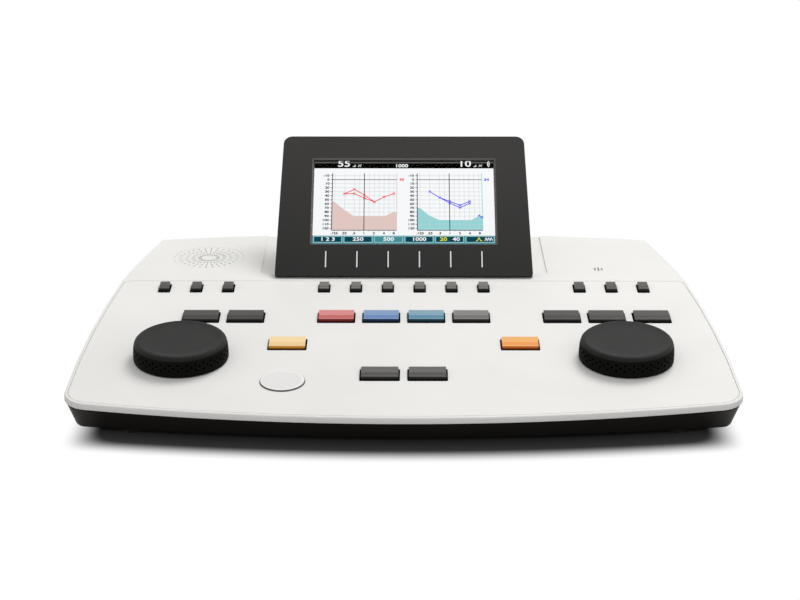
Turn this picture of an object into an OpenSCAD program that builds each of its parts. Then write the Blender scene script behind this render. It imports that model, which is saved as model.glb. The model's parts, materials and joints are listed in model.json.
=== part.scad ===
// Desktop audiometer: a low wedge-shaped case with a bowed outline, a keyed control
// panel with two rotary knobs, and a display that folds back onto the rear deck.
// Millimetres. +X is to the operator's right, +Y away from the operator, +Z up.
// The origin is the centre of the footprint, on the table that the feet stand on.

/* [Case outline] */
// Overall width of the case
case_w = 365; // [355:1:385]
// Overall depth of the case
case_d = 292.5; // [288.5:0.5:307]
// How far the widest line lies in front of the centre
wide_line = 115; // [100:1:130]
// Radius of the bowed side edges in plan
side_r = 1000; // [900:10:1400]
// Radius of the bowed front edge in plan
front_r = 930; // [850:10:1400]
// Radius of the bowed rear edge in plan
rear_r = 975; // [900:10:1400]
// Radius of the front corners in plan
front_corner_r = 15; // [13:0.5:22]
// Radius of the rear corners in plan
rear_corner_r = 14; // [10:0.5:20]

/* [Case profile] */
// Height of the crease between the control panel and the rear deck
crease_z = 39.6; // [38:0.2:48]
// Distance of the crease behind the centre
crease_y = 32.6; // [27:0.2:37]
// Tilt of the control panel
panel_tilt = 7.2; // [6:0.1:7.8]
// Tilt of the rear deck
deck_tilt = 2.9; // [1:0.1:4]
// Depth of the sloped tail behind the deck
tail_d = 22.5; // [18:0.5:26]
// Height of the top shell's edge at the rear
tail_z = 28.2; // [28:0.2:32]
// Height of the top shell's rim band
rim_h = 3.7; // [3.5:0.1:4.3]
// Width of the rounded top edge of the rim
rim_round = 0.9; // [0.5:0.1:1.2]
// Width of the bevel on the rim's lower edge
rim_bevel = 0.4; // [0.2:0.1:0.8]
// Thickness of the side walls
wall = 2.5; // [2:0.1:3]
// Thickness of the top wall
top_wall = 3; // [2.8:0.1:3.2]
// Height of the open seam between the two shells
seam = 0.8; // [0.5:0.1:1.2]
// How far the lower shell stands inside the rim
seam_inset = 0.9; // [0.6:0.1:1.5]
// Thickness of the lip that locates the two shells
lip_t = 1.4; // [1:0.1:1.8]
// How far the lip reaches above the rim's lower edge
lip_h = 0.4; // [0.3:0.1:0.5]
// Sideways clearance of the lip
lip_gap = 0.2; // [0.1:0.05:0.3]
// How far the lower shell draws in at the front
front_draw = 9; // [7:0.5:11]
// How far the lower shell draws in at the sides
side_draw = 5.5; // [4.5:0.5:7]
// How far the lower shell draws in at the rear
rear_draw = 3; // [2.8:0.1:3.4]
// Width of the bevel round the floor
floor_bevel = 1.2; // [0.5:0.1:2]

/* [Feet and screws] */
// Height of the rubber feet below the case
foot_h = 2; // [1.5:0.1:2.6]
// Radius of the rubber feet
foot_r = 6.4; // [5:0.1:8]
// Depth of the pockets that hold the feet
foot_seat = 1; // [0.6:0.1:1.4]
// Width of the bevel round the rubber feet
foot_bevel = 0.7; // [0.4:0.1:1]
// Distance of the front feet in from the side edge
foot_side = 36.5; // [33:0.5:46]
// Distance of the front feet in from the front edge
foot_front = 28; // [27:0.5:34]
// Distance of the rear feet in from the side edge
foot_rear_side = 35; // [31:0.5:55]
// Distance of the rear feet in from the rear edge
foot_rear = 29.5; // [25.5:0.5:47.5]
// Radius of the screw bosses
boss_r = 4; // [3.8:0.1:4.4]
// Radius of a case screw's shank
screw_r = 1.5; // [1.2:0.05:1.6]
// Radius of a case screw's head
screw_head_r = 2.75; // [2.5:0.05:3]
// Length of a case screw's shank
screw_l = 8; // [7:0.5:8]
// Height of a case screw's head
screw_head_h = 2; // [1.6:0.1:2.2]
// Thickness of the boss shoulder under the screw head
screw_seat = 3; // [2.5:0.1:3.5]
// Distance from the panel surface down to where the bosses meet
boss_drop = 9; // [8.5:0.1:10]
// Distance of the front bosses in from the side edge
boss_front_side = 82.5; // [78:0.5:86]
// Distance of the front bosses in from the front edge
boss_front = 24; // [22.5:0.5:27.5]
// Distance of the middle bosses in from the side edge
boss_mid_side = 20; // [18:0.5:22]
// Distance of the middle bosses in from the front edge
boss_mid = 85; // [81.5:0.5:89.5]
// Distance of the rear bosses in from the side edge
boss_rear_side = 28; // [24:0.5:32]
// Gap between the rear bosses and the speaker's edge
boss_rear_gap = 3.2; // [2.5:0.1:8]

/* [Vents] */
// Number of floor vents in each group
vent_count = 8; // [6:1:8]
// Spacing of the floor vents
vent_pitch = 6; // [5:0.5:7]
// Width of a floor vent
vent_w = 2.4; // [1.6:0.1:3]
// Length of a floor vent
vent_l = 34; // [24:1:40]
// Distance of a vent group's middle from the centre plane
vent_x = 55; // [45:1:60]

/* [Control panel] */
// Width of the rim outside the groove round the panel
panel_margin = 2.2; // [1.8:0.1:3]
// Width of the groove round the panel
groove = 0.4; // [0.2:0.05:0.6]
// Thickness of the panel inlay
inlay_t = 0.8; // [0.5:0.1:1]
// Distance of the panel's rear edge in front of the crease
inlay_back = 1.6; // [1.2:0.1:2.4]
// Radius of the panel's rear corners
inlay_r = 5; // [3:0.5:7]
// Clearance round bushings and posts where they pass through a sheet
pass_gap = 0.3; // [0.2:0.05:0.4]
// Clearance of the sheets under the panel from the top shell's walls
sheet_gap = 9.5; // [9:0.1:10]
// Clearance of these sheets from the case bosses
boss_gap = 1.4; // [1:0.1:2]

/* [Keys] */
// Spacing of the small keys
small_pitch = 19.2; // [18:0.1:20]
// Spacing of the wide keys
wide_pitch = 26.2; // [25.5:0.1:27]
// Width of a small key
small_w = 5.8; // [5:0.1:6.6]
// Length of a small key
small_l = 11; // [10:0.1:11.6]
// Height of a small key above the panel
small_h = 2.3; // [2:0.1:2.8]
// Width of a wide key
wide_w = 20.5; // [19:0.1:21]
// Length of a wide key
wide_l = 13.3; // [12.5:0.1:14]
// Height of a wide key above the panel
wide_h = 2.1; // [1.8:0.1:2.6]
// Distance of the small-key row in front of the crease
small_row = 12.6; // [12:0.1:13.4]
// Distance of the main wide-key row in front of the crease
wide_row = 54.8; // [53:0.1:56]
// Distance of the single side keys in front of the crease
single_row = 91.2; // [89:0.1:93]
// Distance of the down and up keys in front of the crease
step_row = 129.7; // [128:0.1:131]
// Distance of the first outer small key from the centre plane
outer_small_x = 105.8; // [104:0.1:106.4]
// Distance of the first outer wide key from the centre plane
outer_wide_x = 92.1; // [91:0.1:92.4]
// Distance of the single side keys from the centre plane
single_x = 65.8; // [62:0.1:66.4]
// Radius of the keys' corners in plan
key_corner = 0.9; // [0.4:0.1:1.4]
// How far a key's crease lies in front of its middle
cap_crease = 1; // [0.5:0.1:2]
// How far a key's top falls away in front of its crease
cap_fall = 0.55; // [0.3:0.05:0.8]
// Width of the bevel on a key's front and back edges
cap_bevel = 0.5; // [0.3:0.05:0.6]
// Travel of a key
key_travel = 1; // [0.6:0.1:1.2]
// Width of the dark surround round a key
surround = 0.85; // [0.7:0.05:1]
// Clearance between a key and its surround
key_gap = 0.2; // [0.15:0.05:0.3]
// Clearance between the surround and the panel hole
collar_gap = 0.15; // [0.1:0.05:0.2]
// Depth of the surround's top below the panel surface
collar_drop = 0.25; // [0.1:0.05:0.4]
// Thickness of the key frame's plate
frame_t = 1.5; // [1.2:0.1:1.8]
// Reach of the key frame's plate past the outermost key
frame_reach = 2; // [1.5:0.1:2.5]
// Distance of the key frame's rear edge in front of the crease
frame_back = 3.5; // [3:0.1:4]
// Width of the flange that keeps a key in its frame
flange_w = 0.9; // [0.7:0.1:1.1]
// Thickness of a key's flange
flange_t = 1; // [0.8:0.1:1.2]
// Radius of a key's stem
stem_r = 1.6; // [1.3:0.1:1.8]
// Radial clearance of a key's stem in its switch
stem_gap = 0.1; // [0.05:0.05:0.15]
// How far a released stem stands in its switch
stem_in = 0.6; // [0.4:0.1:0.8]
// Room in the switch under a fully pressed stem
stem_room = 0.8; // [0.5:0.1:0.9]

/* [Tone switch] */
// Radius of the round tone switch
tone_r = 12.25; // [11:0.05:13]
// Width of its bevelled edge
tone_bevel = 1.9; // [1:0.1:2.4]
// Height of the tone switch above the panel
tone_h = 1; // [0.8:0.1:1.6]
// Height of the tone switch's upright edge above the panel
tone_rim = 0.3; // [0.1:0.05:0.5]
// Distance of the tone switch from the centre plane
tone_x = 65.9; // [63:0.1:68]
// Distance of the tone switch in front of the crease
tone_row = 137.8; // [135:0.1:138.4]
// Travel of the tone switch
tone_travel = 0.8; // [0.4:0.1:1]

/* [Knobs] */
// Radius of a knob
knob_r = 27; // [24:0.5:28]
// Height of a knob
knob_h = 11.5; // [10:0.1:13]
// Gap between a knob and the panel
knob_gap = 0.8; // [0.5:0.1:1.2]
// Radius of a knob's rounded shoulder
knob_shoulder = 4.2; // [3:0.1:5]
// Depth of the dished knob top
knob_dish = 0.8; // [0.3:0.1:1]
// Radius of the level middle of the dished knob top
dish_r = 17.5; // [15:0.5:19]
// Width of the bevel on a knob's lower edge
knob_bevel = 0.8; // [0.4:0.1:1.2]
// Distance of the knobs from the centre plane
knob_x = 124; // [120:0.5:126]
// Distance of the knobs in front of the crease
knob_row = 108.6; // [106:0.1:110]
// Radius of the hard core inside a knob's rubber grip
core_r = 22; // [20:0.5:23]
// Height of the hard core
core_h = 7.6; // [6.5:0.1:8]
// Thickness of the hard core's rim and disc
core_t = 2; // [1.6:0.1:2.4]
// Radius of the hard core's hub
hub_r = 6; // [5:0.1:7]
// Thickness of the hard core's webs
web_t = 1.5; // [1:0.1:2]
// Number of dimples in each row round a grip
dimple_count = 34; // [24:1:36]
// Radius of a dimple
dimple_r = 0.65; // [0.4:0.05:0.8]
// Depth of a dimple
dimple_depth = 0.5; // [0.3:0.1:0.8]
// Height of the lowest dimple row above the knob's lower edge
dimple_z = 3.1; // [2.6:0.1:3.4]
// Spacing of the dimple rows
dimple_pitch = 1.7; // [1.5:0.1:1.9]
// Radius of an encoder shaft
shaft_r = 3; // [2.5:0.1:3.2]
// Radial running clearance of an encoder shaft
shaft_gap = 0.05; // [0.03:0.01:0.1]
// Radius of an encoder's bushing
bush_r = 4.5; // [4.2:0.1:4.8]
// How far an encoder shaft reaches into its knob
shaft_in = 6.6; // [5:0.1:6.8]
// Distance of an encoder shaft's lower end above the key board
shaft_seat = 1; // [0.6:0.1:1.4]
// Side of an encoder's square body
encoder_w = 13; // [12:0.5:15]
// Height of an encoder's square body
encoder_h = 6.5; // [6:0.1:7]
// Depth of a bushing's top below the panel surface
bush_drop = 1; // [0.8:0.1:1.4]

/* [Boards] */
// Distance from the panel surface down to the key board
board_drop = 12; // [11.8:0.1:12.4]
// Thickness of the circuit boards
board_t = 1.6; // [1.2:0.1:1.8]
// Width of the key board
key_board_w = 304; // [302:1:306]
// Front edge of the key board in front of the crease
key_board_front = 146; // [144.5:0.5:147]
// Rear edge of the key board in front of the crease
key_board_back = 4; // [3.5:0.1:5]
// Distance of the key board's outer posts in from its side edges
post_side = 5; // [4:0.5:7]
// Distance of its front posts in from its front edge
post_front = 8; // [7:0.5:9]
// Side of a key switch's square housing
switch_w = 6; // [5:0.1:7]
// Height of a key switch's housing
switch_h = 3.8; // [3.6:0.1:4]
// Radius of the posts that carry the key board
post_r = 3; // [2.6:0.1:3.2]
// Radius of the tips of all board posts
tip_r = 1.4; // [1.2:0.1:1.5]
// Radial clearance of the post tips
tip_gap = 0.1; // [0.05:0.05:0.2]
// Width of the main board
main_w = 200; // [180:1:204]
// Depth of the main board
main_d = 95; // [80:1:97]
// Gap between the main board and the plug sockets
main_gap = 6; // [4:1:14]
// Distance of the main board's posts in from its edges
post_inset = 6; // [5:0.5:8]
// Height of the power transformer on the main board
transformer_h = 14; // [10:1:15]
// Height of the board connectors
header_h = 7; // [5:0.5:8]
// Thickness of the chips
chip_t = 2.2; // [1:0.1:3]
// Height of the main board above the case floor
main_lift = 5.5; // [4:0.1:7]

/* [Sound] */
// Radius of the speaker grille
grille_r = 21.85; // [21:0.05:23]
// Thickness of the speaker grille
grille_t = 1.5; // [1.2:0.1:1.8]
// Width of the ledge that the speaker grille lies on
grille_lap = 1.6; // [1.2:0.1:2]
// Clearance round the speaker grille
grille_gap = 0.1; // [0.05:0.05:0.2]
// Distance of the speaker from the centre plane
speaker_x = 122.9; // [120:0.1:124]
// Distance of the speaker behind the crease
speaker_row = 42.2; // [40:0.1:44]
// Radius of the innermost ring of slots
slot_ring = 5.9; // [5.6:0.1:6.4]
// Spacing of the slot rings
ring_pitch = 4; // [3.8:0.05:4.1]
// Number of slot rings
ring_count = 4; // [2:1:4]
// Number of slots in each ring
spoke_count = 28; // [16:1:30]
// Width of a grille slot
slot_w = 0.75; // [0.5:0.05:0.9]
// Length of a grille slot
slot_l = 2.3; // [1.8:0.1:2.8]
// Depth of the loudspeaker
speaker_depth = 15; // [12:0.5:18]
// How far the loudspeaker's edge lies inside the grille's
basket_in = 0.4; // [0.2:0.1:0.8]
// Thickness of the loudspeaker's edge
basket_t = 1.3; // [1:0.1:1.6]
// Distance of the microphone slots from the centre plane
mic_x = 120.5; // [118:0.1:124]
// Distance of the microphone slots behind the crease
mic_row = 20.7; // [19:0.1:23]
// Radius of the talk microphone's capsule
mic_r = 4.8; // [4.5:0.1:5.5]
// Depth of the talk microphone's capsule
mic_depth = 5; // [4:0.1:7]
// Width of a microphone slot
mic_slot_w = 1; // [0.8:0.1:1.2]
// Length of the middle microphone slot
mic_slot_l = 6.7; // [6:0.1:7.4]
// Spacing of the microphone slots
mic_slot_pitch = 2.1; // [1.8:0.1:2.4]

/* [Display] */
// Width of the display at its lower edge
display_w = 158; // [154:1:164]
// Width of the display at its upper edge
display_top_w = 153; // [150:1:158]
// Height of the display along its face
display_h = 105; // [103:1:108]
// Thickness of the display
display_t = 12; // [11.6:0.1:12.8]
// Depth of the bezel's side walls
bezel_d = 5; // [4.5:0.1:5.5]
// How far the rear cover draws in towards the display's back
cover_taper = 3; // [2.4:0.1:3.4]
// Thickness of the display's walls
display_wall = 2; // [1.6:0.1:2.2]
// Radius of the display's upper corners
display_top_r = 5.5; // [4:0.5:8]
// Radius of the display's lower corners
display_low_r = 2.5; // [2:0.5:4]
// Lean of the raised display above the horizontal
display_lean = 42.1; // [41:0.1:44]
// Width of the screen opening
screen_w = 114; // [110:1:116]
// Height of the screen opening
screen_h = 63; // [60:1:64]
// Height of the screen opening's lower edge above the display's lower edge
screen_v = 24; // [23:0.5:26]
// How far the window and the screen reach past the opening
screen_lap = 2; // [1.5:0.1:3]
// Thickness of the window
window_t = 1; // [0.8:0.1:1.2]
// Thickness of the screen module
lcd_t = 3.4; // [3:0.1:3.6]
// Gap between the screen module and the display's board
board_gap = 0.2; // [0.1:0.05:0.3]
// Thickness of the display's board
display_board_t = 1.4; // [1:0.1:1.5]
// Side of the square chip on the display's board
display_chip = 16; // [10:1:20]
// Radius of the posts for the display's screws
display_post_r = 3; // [2.8:0.1:3.2]
// Distance of the display's screws in from its side edges
display_screw_side = 7; // [6.5:0.1:8]
// Height of the lower screws above the display's lower edge
display_screw_low = 22; // [21:0.5:23]
// Distance of the upper screws below the display's upper edge
display_screw_top = 9; // [8.5:0.1:11]
// Radius of the display's screws
display_screw_r = 1.15; // [0.9:0.05:1.2]
// Radius of a display screw's head
display_head_r = 2.4; // [2:0.1:2.5]
// Height of a display screw's head
display_head_h = 1.45; // [1.2:0.05:1.6]
// Depth of the display screws' heads below the display's back
display_head_drop = 0.5; // [0.3:0.1:0.8]
// Thickness of the display's lower lip
lip_low = 2.6; // [2.2:0.1:2.8]
// Height above the lower edge where the back starts to thicken
lip_v = 1; // [0.8:0.1:1.2]
// Height above the lower edge where the back reaches full thickness
chamfer_v = 14; // [13.8:0.1:16]

/* [Hinge] */
// Distance of the hinge axis behind the crease
hinge_row = 18.9; // [18:0.1:21]
// Depth of the hinge axis below the deck surface
hinge_depth = 2.86; // [2.8:0.02:3]
// Distance of the hinge axis above the display's lower edge
hinge_v = 10; // [9.6:0.1:10.4]
// Distance of the hinge axis behind the display's back
hinge_back = 2; // [1.9:0.05:2.1]
// Distance of the hinge knuckles from the centre plane
hinge_x = 52; // [45:1:58]
// Radius of the hinge knuckles
knuckle_r = 3.6; // [3.4:0.1:3.8]
// Width of the display's hinge knuckle
knuckle_w = 10; // [8:0.5:14]
// Thickness of the bracket ears
ear_t = 3; // [2.5:0.1:4]
// Sideways gap between knuckle and ears
ear_gap = 0.3; // [0.2:0.05:0.4]
// Thickness of the hinge brackets' plates
bracket_t = 1.6; // [1.2:0.1:1.8]
// Gap between a knuckle and the bracket's plate under it
foot_gap = 0.45; // [0.4:0.05:0.8]
// Clearance round a hinge knuckle in the deck's slot
slot_gap = 0.8; // [0.7:0.05:0.9]
// Radius of the hinge pins
pin_r = 2; // [1.6:0.1:2.2]
// Radial running clearance of the hinge pins
pin_gap = 0.05; // [0.03:0.01:0.1]
// Half the width of the pocket that the folded display lies in
pocket_x = 88.4; // [86:0.1:92]
// Distance of the pocket's front edge behind the crease
pocket_row = 11.2; // [10:0.1:12]
// Depth of the pocket
pocket_depth = 1.2; // [1.2:0.05:1.4]
// Radius of the pocket's front corners
pocket_r = 4.5; // [3:0.5:7]

/* [Rear connectors] */
// Width of the connector recess
port_w = 196; // [194:1:198]
// Height of the connector recess
port_h = 16; // [15.6:0.1:16.4]
// Height of the recess floor above the table
port_z = 5.2; // [5:0.1:5.4]
// Distance of the connector plate's outer face in from the rear edge
port_inset = 11.5; // [11:0.5:13]
// Thickness of the connector plate
port_t = 2; // [1.5:0.1:2.5]
// Wall of the recess
port_wall = 2; // [1.5:0.1:2.1]
// Clearance round the connector plate
port_gap = 0.1; // [0.05:0.05:0.2]
// Number of plug sockets
jack_count = 8; // [4:1:8]
// Spacing of the plug sockets
jack_pitch = 16; // [14:0.5:16]
// Position of the first plug socket
jack_x = -86; // [-88:1:-84]
// Radius of a plug socket's bore
jack_r = 3.2; // [3.15:0.05:3.3]
// Depth of a plug socket
jack_l = 15; // [14:0.5:16]
// Radius of a plug socket's collar
collar_r = 5.2; // [5:0.1:5.6]
// Thickness of a plug socket's collar
collar_t = 1.5; // [1:0.1:2]
// Radius of a plug socket's barrel
barrel_r = 4.4; // [4.2:0.1:4.6]
// Side of a plug socket's square body
jack_body = 11; // [10:0.1:12]
// Position of the USB socket
usb_x = 45; // [44:0.5:46]
// Width of the USB socket
usb_w = 12; // [11.6:0.1:12.4]
// Height of the USB socket and of the power inlet
usb_h = 11; // [10.6:0.1:11.4]
// Depth of the USB socket
usb_d = 16; // [14:0.5:17]
// Thickness of the USB socket's shell
usb_t = 1.5; // [1:0.1:1.8]
// Position of the power inlet
inlet_x = 62; // [61:0.5:63]
// Width of the power inlet
inlet_w = 10; // [9.6:0.1:10.4]
// Depth of the power inlet
inlet_d = 13; // [12:0.5:15]
// Radius of the power inlet's round opening
inlet_r = 3; // [2.8:0.1:3.2]
// Radius of the power inlet's pin
inlet_pin_r = 1; // [0.8:0.1:1.2]
// Position of the power switch
power_x = 83; // [82:0.5:84]
// Width of the power switch's frame
power_w = 19.4; // [19:0.1:19.8]
// Height of the power switch's frame
power_h = 13; // [12.8:0.1:13.2]
// Depth of the power switch
power_d = 13; // [12:0.5:15]
// Thickness of the power switch's frame
power_t = 1.2; // [1:0.1:1.4]
// Width of the power switch's frame round its opening
power_rim = 1.8; // [1.7:0.05:1.9]
// Clearance of the rocker in its frame
rocker_gap = 0.3; // [0.25:0.05:0.4]
// Depth of the rocker's axis behind the connector plate's outer face
rocker_deep = 2.4; // [2.2:0.1:2.6]
// Radius of the rocker's pivots
rocker_pin_r = 1.2; // [1:0.1:1.3]
// Half the rocker's swing
rocker_tilt = 8; // [6:0.5:9]

/* [Hidden] */

$fn = 64;
over = 1;            // overrun of a cutter past the face it cuts
touch = 0.05;        // gap between flat faces that seat on each other
port_lap = 0.3;      // how far sockets stand out of the connector plate
shaft_end_gap = 0.2; // room under a shaft's lower end
min_corner = 3;      // least corner radius of an inset outline

// Segments of the outline's stretches, from the front centre to the rear centre
front_seg = 12;
corner_seg = 5;
side_seg = 4;
deck_seg = 3;
tail_seg = 2;
half_seg = front_seg + corner_seg + side_seg + deck_seg + tail_seg + corner_seg + front_seg;
ring_n = 2 * half_seg;
crease_i = front_seg + corner_seg + side_seg;
break_i = crease_i + deck_seg;

front_c = [0, front_r - case_d / 2];
rear_c = [0, case_d / 2 - rear_r];
side_c = [case_w / 2 - side_r, -wide_line];

panel_under = -top_wall * cos(panel_tilt) - touch;   // key frame's seat, in the panel's frame
frame_low = panel_under - frame_t;
flange_top = frame_low - key_gap;
flange_low = flange_top - flange_t;
switch_top = switch_h - board_drop;
stem_low = switch_top - stem_in;

floor_z = foot_h + wall;
main_z = floor_z + main_lift;
hinge_d = display_t + hinge_back;
fold = display_lean - deck_tilt;
port_mid = port_z + port_h / 2;
port_y = case_d / 2 - port_inset;
port_back = port_y - port_t;
main_front = port_back - jack_l - main_gap - main_d;

// Half of the case bosses in plan: the rear one stands behind the speaker
boss_rear_y = crease_y + speaker_row * cos(deck_tilt) + grille_r + boss_r + boss_rear_gap;
case_bosses = [set_in(boss_front_side, boss_front), set_in(boss_mid_side, boss_mid),
               [side_x(boss_rear_y, 0) - boss_rear_side, boss_rear_y]];
// Half of the key board's posts in the panel's frame: [x, distance in front of the crease]
post_outer = key_board_w / 2 - post_side;
key_posts = [[66, 36], [post_outer, 30], [40, 110], [post_outer, key_board_front - post_front]];

// --- plan outline -----------------------------------------------------------------

// Point where two circles meet, on the given side of the line between their centres
function meet(a, ra, b, rb, side) =
    let (d = norm(b - a), u = (b - a) / d, t = (ra * ra - rb * rb + d * d) / (2 * d),
         h = side * sqrt(ra * ra - t * t))
    a + t * u + h * [-u[1], u[0]];

function heading(a, b) = atan2(b[1] - a[1], b[0] - a[0]);
function polar(c, r, a) = c + r * [cos(a), sin(a)];
function arc(c, r, a0, a1, n) = [for (i = [1:n]) polar(c, r, a0 + (a1 - a0) * i / n)];
function side_x(y, ds) = side_c[0] + sqrt(pow(side_r - ds, 2) - pow(y - side_c[1], 2));
// A point set in from the right side edge, and by depth from the front edge or, where depth is
// negative, from the rear edge
function set_in(side, depth) =
    let (y = depth > 0 ? depth - case_d / 2 : case_d / 2 + depth) [side_x(y, 0) - side, y];
function side_run(y0, y1, ds, n) =
    [for (i = [1:n]) let (y = y0 + (y1 - y0) * i / n) [side_x(y, ds), y]];

// Right half of the outline, drawn in by df at the front, ds at the sides, dr at the rear
function half_ring(df, ds, dr) =
    let (rf = max(front_corner_r - max(df, ds), min_corner),
         rr = max(rear_corner_r - max(ds, dr), min_corner),
         fc = meet(front_c, front_r - df - rf, side_c, side_r - ds - rf, 1),
         rc = meet(rear_c, rear_r - dr - rr, side_c, side_r - ds - rr, -1),
         f1 = heading(front_c, fc), f2 = heading(side_c, fc),
         r1 = heading(side_c, rc), r2 = heading(rear_c, rc),
         y1 = polar(side_c, side_r - ds, f2)[1], y4 = polar(side_c, side_r - ds, r1)[1],
         y3 = meet(rear_c, rear_r - tail_d, side_c, side_r - ds, -1)[1])
    concat([[0, front_c[1] - front_r + df]],
           arc(front_c, front_r - df, -90, f1, front_seg),
           arc(fc, rf, f1, f2, corner_seg),
           side_run(y1, crease_y, ds, side_seg),
           side_run(crease_y, y3, ds, deck_seg),
           side_run(y3, y4, ds, tail_seg),
           arc(rc, rr, r1, r2, corner_seg),
           arc(rear_c, rear_r - dr, r2, 90, front_seg));

function ring(df, ds, dr) =
    let (h = half_ring(df, ds, dr))
    concat(h, [for (i = [half_seg - 1:-1:1]) [-h[i][0], h[i][1]]]);

// --- top surface ------------------------------------------------------------------

function plane_z(y) = crease_z + (y - crease_y) * tan(y < crease_y ? panel_tilt : deck_tilt);
function rear_gap(p) = rear_r - norm([p[0], p[1]] - rear_c);
function top_z(p) =
    let (g = rear_gap(p), z = plane_z(p[1]))
    g >= tail_d ? z : tail_z + (z - tail_z) * g / tail_d;

// A ring that follows the top surface, a given drop below it
function top_ring(d, drop) = [for (p = ring(d, d, d)) [p[0], p[1], top_z(p) - drop]];
function flat_ring(df, ds, dr, z) = [for (p = ring(df, ds, dr)) [p[0], p[1], z]];
// The deck's rear edge behind a ring, point for point
function deck_edge(r, drop) =
    [for (i = [break_i + 1:ring_n - break_i - 1])
        let (p = polar(rear_c, rear_r - tail_d, heading(rear_c, [r[i][0], r[i][1]])))
        [p[0], p[1], plane_z(p[1]) - drop]];

// Side faces between consecutive rings
function skirt(count) =
    [for (k = [0:count - 2], i = [0:ring_n - 1])
        let (j = (i + 1) % ring_n, a = k * ring_n, b = (k + 1) * ring_n)
        each [[a + i, b + i, a + j], [a + j, b + i, b + j]]];
// Panel, deck and tail faces of the ring that starts at vertex a; its deck edge starts at e
function top_faces(a, e) =
    let (edge_n = ring_n - 2 * break_i - 1,
         edge = [for (k = [0:edge_n - 1]) e + k],
         back = concat([a + break_i], edge, [a + ring_n - break_i]))
    concat([[for (i = [-crease_i:crease_i]) a + (i + ring_n) % ring_n]],
           [concat([for (i = [crease_i:break_i - 1]) a + i], back,
                   [for (i = [ring_n - break_i + 1:ring_n - crease_i]) a + i])],
           [for (k = [0:edge_n]) let (o = a + break_i + k)
               each [if (k < edge_n) [o, o + 1, back[k + 1]],
                     if (k > 0) [o, back[k + 1], back[k]]]]);
function flip(faces) = [for (f = faces) [for (i = [len(f) - 1:-1:0]) f[i]]];

// Rounds the corners of a polygon; a radius of 0 keeps the corner
function unit(v) = v / norm(v);
function corner(a, p, b, r, n) =
    let (u = unit(a - p), v = unit(b - p), half = acos(u * v) / 2,
         c = p + unit(u + v) * r / sin(half), s = p + u * r / tan(half),
         a0 = heading(c, s), turn = heading(c, p + v * r / tan(half)) - a0,
         da = turn > 180 ? turn - 360 : turn < -180 ? turn + 360 : turn)
    [for (i = [0:n]) polar(c, r, a0 + da * i / n)];
function rounded(pts, rs, n = 6) =
    [for (i = [0:len(pts) - 1])
        let (a = pts[(i + len(pts) - 1) % len(pts)], b = pts[(i + 1) % len(pts)])
        each rs[i] == 0 ? [pts[i]] : corner(a, pts[i], b, rs[i], n)];

// --- working frames ---------------------------------------------------------------

// Panel frame: x, distance behind the crease, height above the panel
module on_panel() { translate([0, crease_y, crease_z]) rotate([panel_tilt, 0, 0]) children(); }
// Deck frame: x, distance behind the crease, height above the deck
module on_deck() { translate([0, crease_y, crease_z]) rotate([deck_tilt, 0, 0]) children(); }
// Hinge frame: the hinge axis is the x axis, the deck is level
module on_hinge() { on_deck() translate([0, hinge_row, -hinge_depth]) children(); }
// Display frame: x, height above the lower edge, height above the face
module on_display() {
    on_hinge() rotate([fold, 0, 0]) translate([0, -hinge_v, hinge_d]) children();
}
// A point of the plan in the panel's frame
function on_panel_plan(p) = [p[0], (p[1] - crease_y) / cos(panel_tilt)];
module mirrored() { children(); mirror([1, 0, 0]) children(); }
module knob_at(side) { on_panel() translate([side * knob_x, -knob_row, 0]) children(); }

// Rectangle with round corners, centred
module round_rect(w, l, r) {
    square([w - 2 * r, l], center = true);
    square([w, l - 2 * r], center = true);
    for (x = [-1, 1], y = [-1, 1]) translate([x * (w / 2 - r), y * (l / 2 - r)])
        circle(r, $fn = 24);
}

// --- key layout -------------------------------------------------------------------

function soft_x(i) = (i - 3.5) * small_pitch;
function small_x(side, i) = side * (outer_small_x + (i - 1) * small_pitch);
function wide_x(side, i) = side * (outer_wide_x + (i - 1) * wide_pitch);
function colour_x(i) = (i - 2.5) * wide_pitch;
step_x = wide_pitch / 2;

small_keys = concat([for (i = [1:6]) [soft_x(i), small_row]],
                    [for (s = [-1, 1], i = [1:3]) [small_x(s, i), small_row]]);
wide_keys = concat([for (i = [1:2]) [wide_x(-1, i), wide_row]],
                   [for (i = [1:3]) [wide_x(1, i), wide_row]],
                   [for (i = [1:4]) [colour_x(i), wide_row]],
                   [[-single_x, single_row], [single_x, single_row]],
                   [[-step_x, step_row], [step_x, step_row]]);
tone_at = [-tone_x, tone_row];

module at_keys(keys) { for (k = keys) translate([k[0], -k[1]]) children(); }
// The outline of every rectangular key, grown by g on each side
module key_shapes(g) {
    at_keys(small_keys) round_rect(small_w + 2 * g, small_l + 2 * g, key_corner);
    at_keys(wide_keys) round_rect(wide_w + 2 * g, wide_l + 2 * g, key_corner);
}
module tone_and_knob_holes() {
    at_keys([tone_at]) circle(tone_r + key_gap);
    mirrored() translate([knob_x, -knob_row]) circle(bush_r + pass_gap);
}
module panel_holes() {
    key_shapes(surround);
    tone_and_knob_holes();
}
// Keeps a sheet under the panel clear of the case walls and bosses
module under_panel() {
    d = wall + sheet_gap;
    difference() {
        intersection() {
            children();
            polygon([for (p = ring(d, d, d)) on_panel_plan(p)]);
        }
        for (b = case_bosses) mirrored() translate(on_panel_plan(b)) circle(boss_r + boss_gap);
    }
}

// --- case -------------------------------------------------------------------------

function boss_top(b) = plane_z(b[1]) - boss_drop;
module boss_spots() {
    for (b = case_bosses) mirrored() translate([b[0], b[1], boss_top(b)]) children();
}

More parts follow.
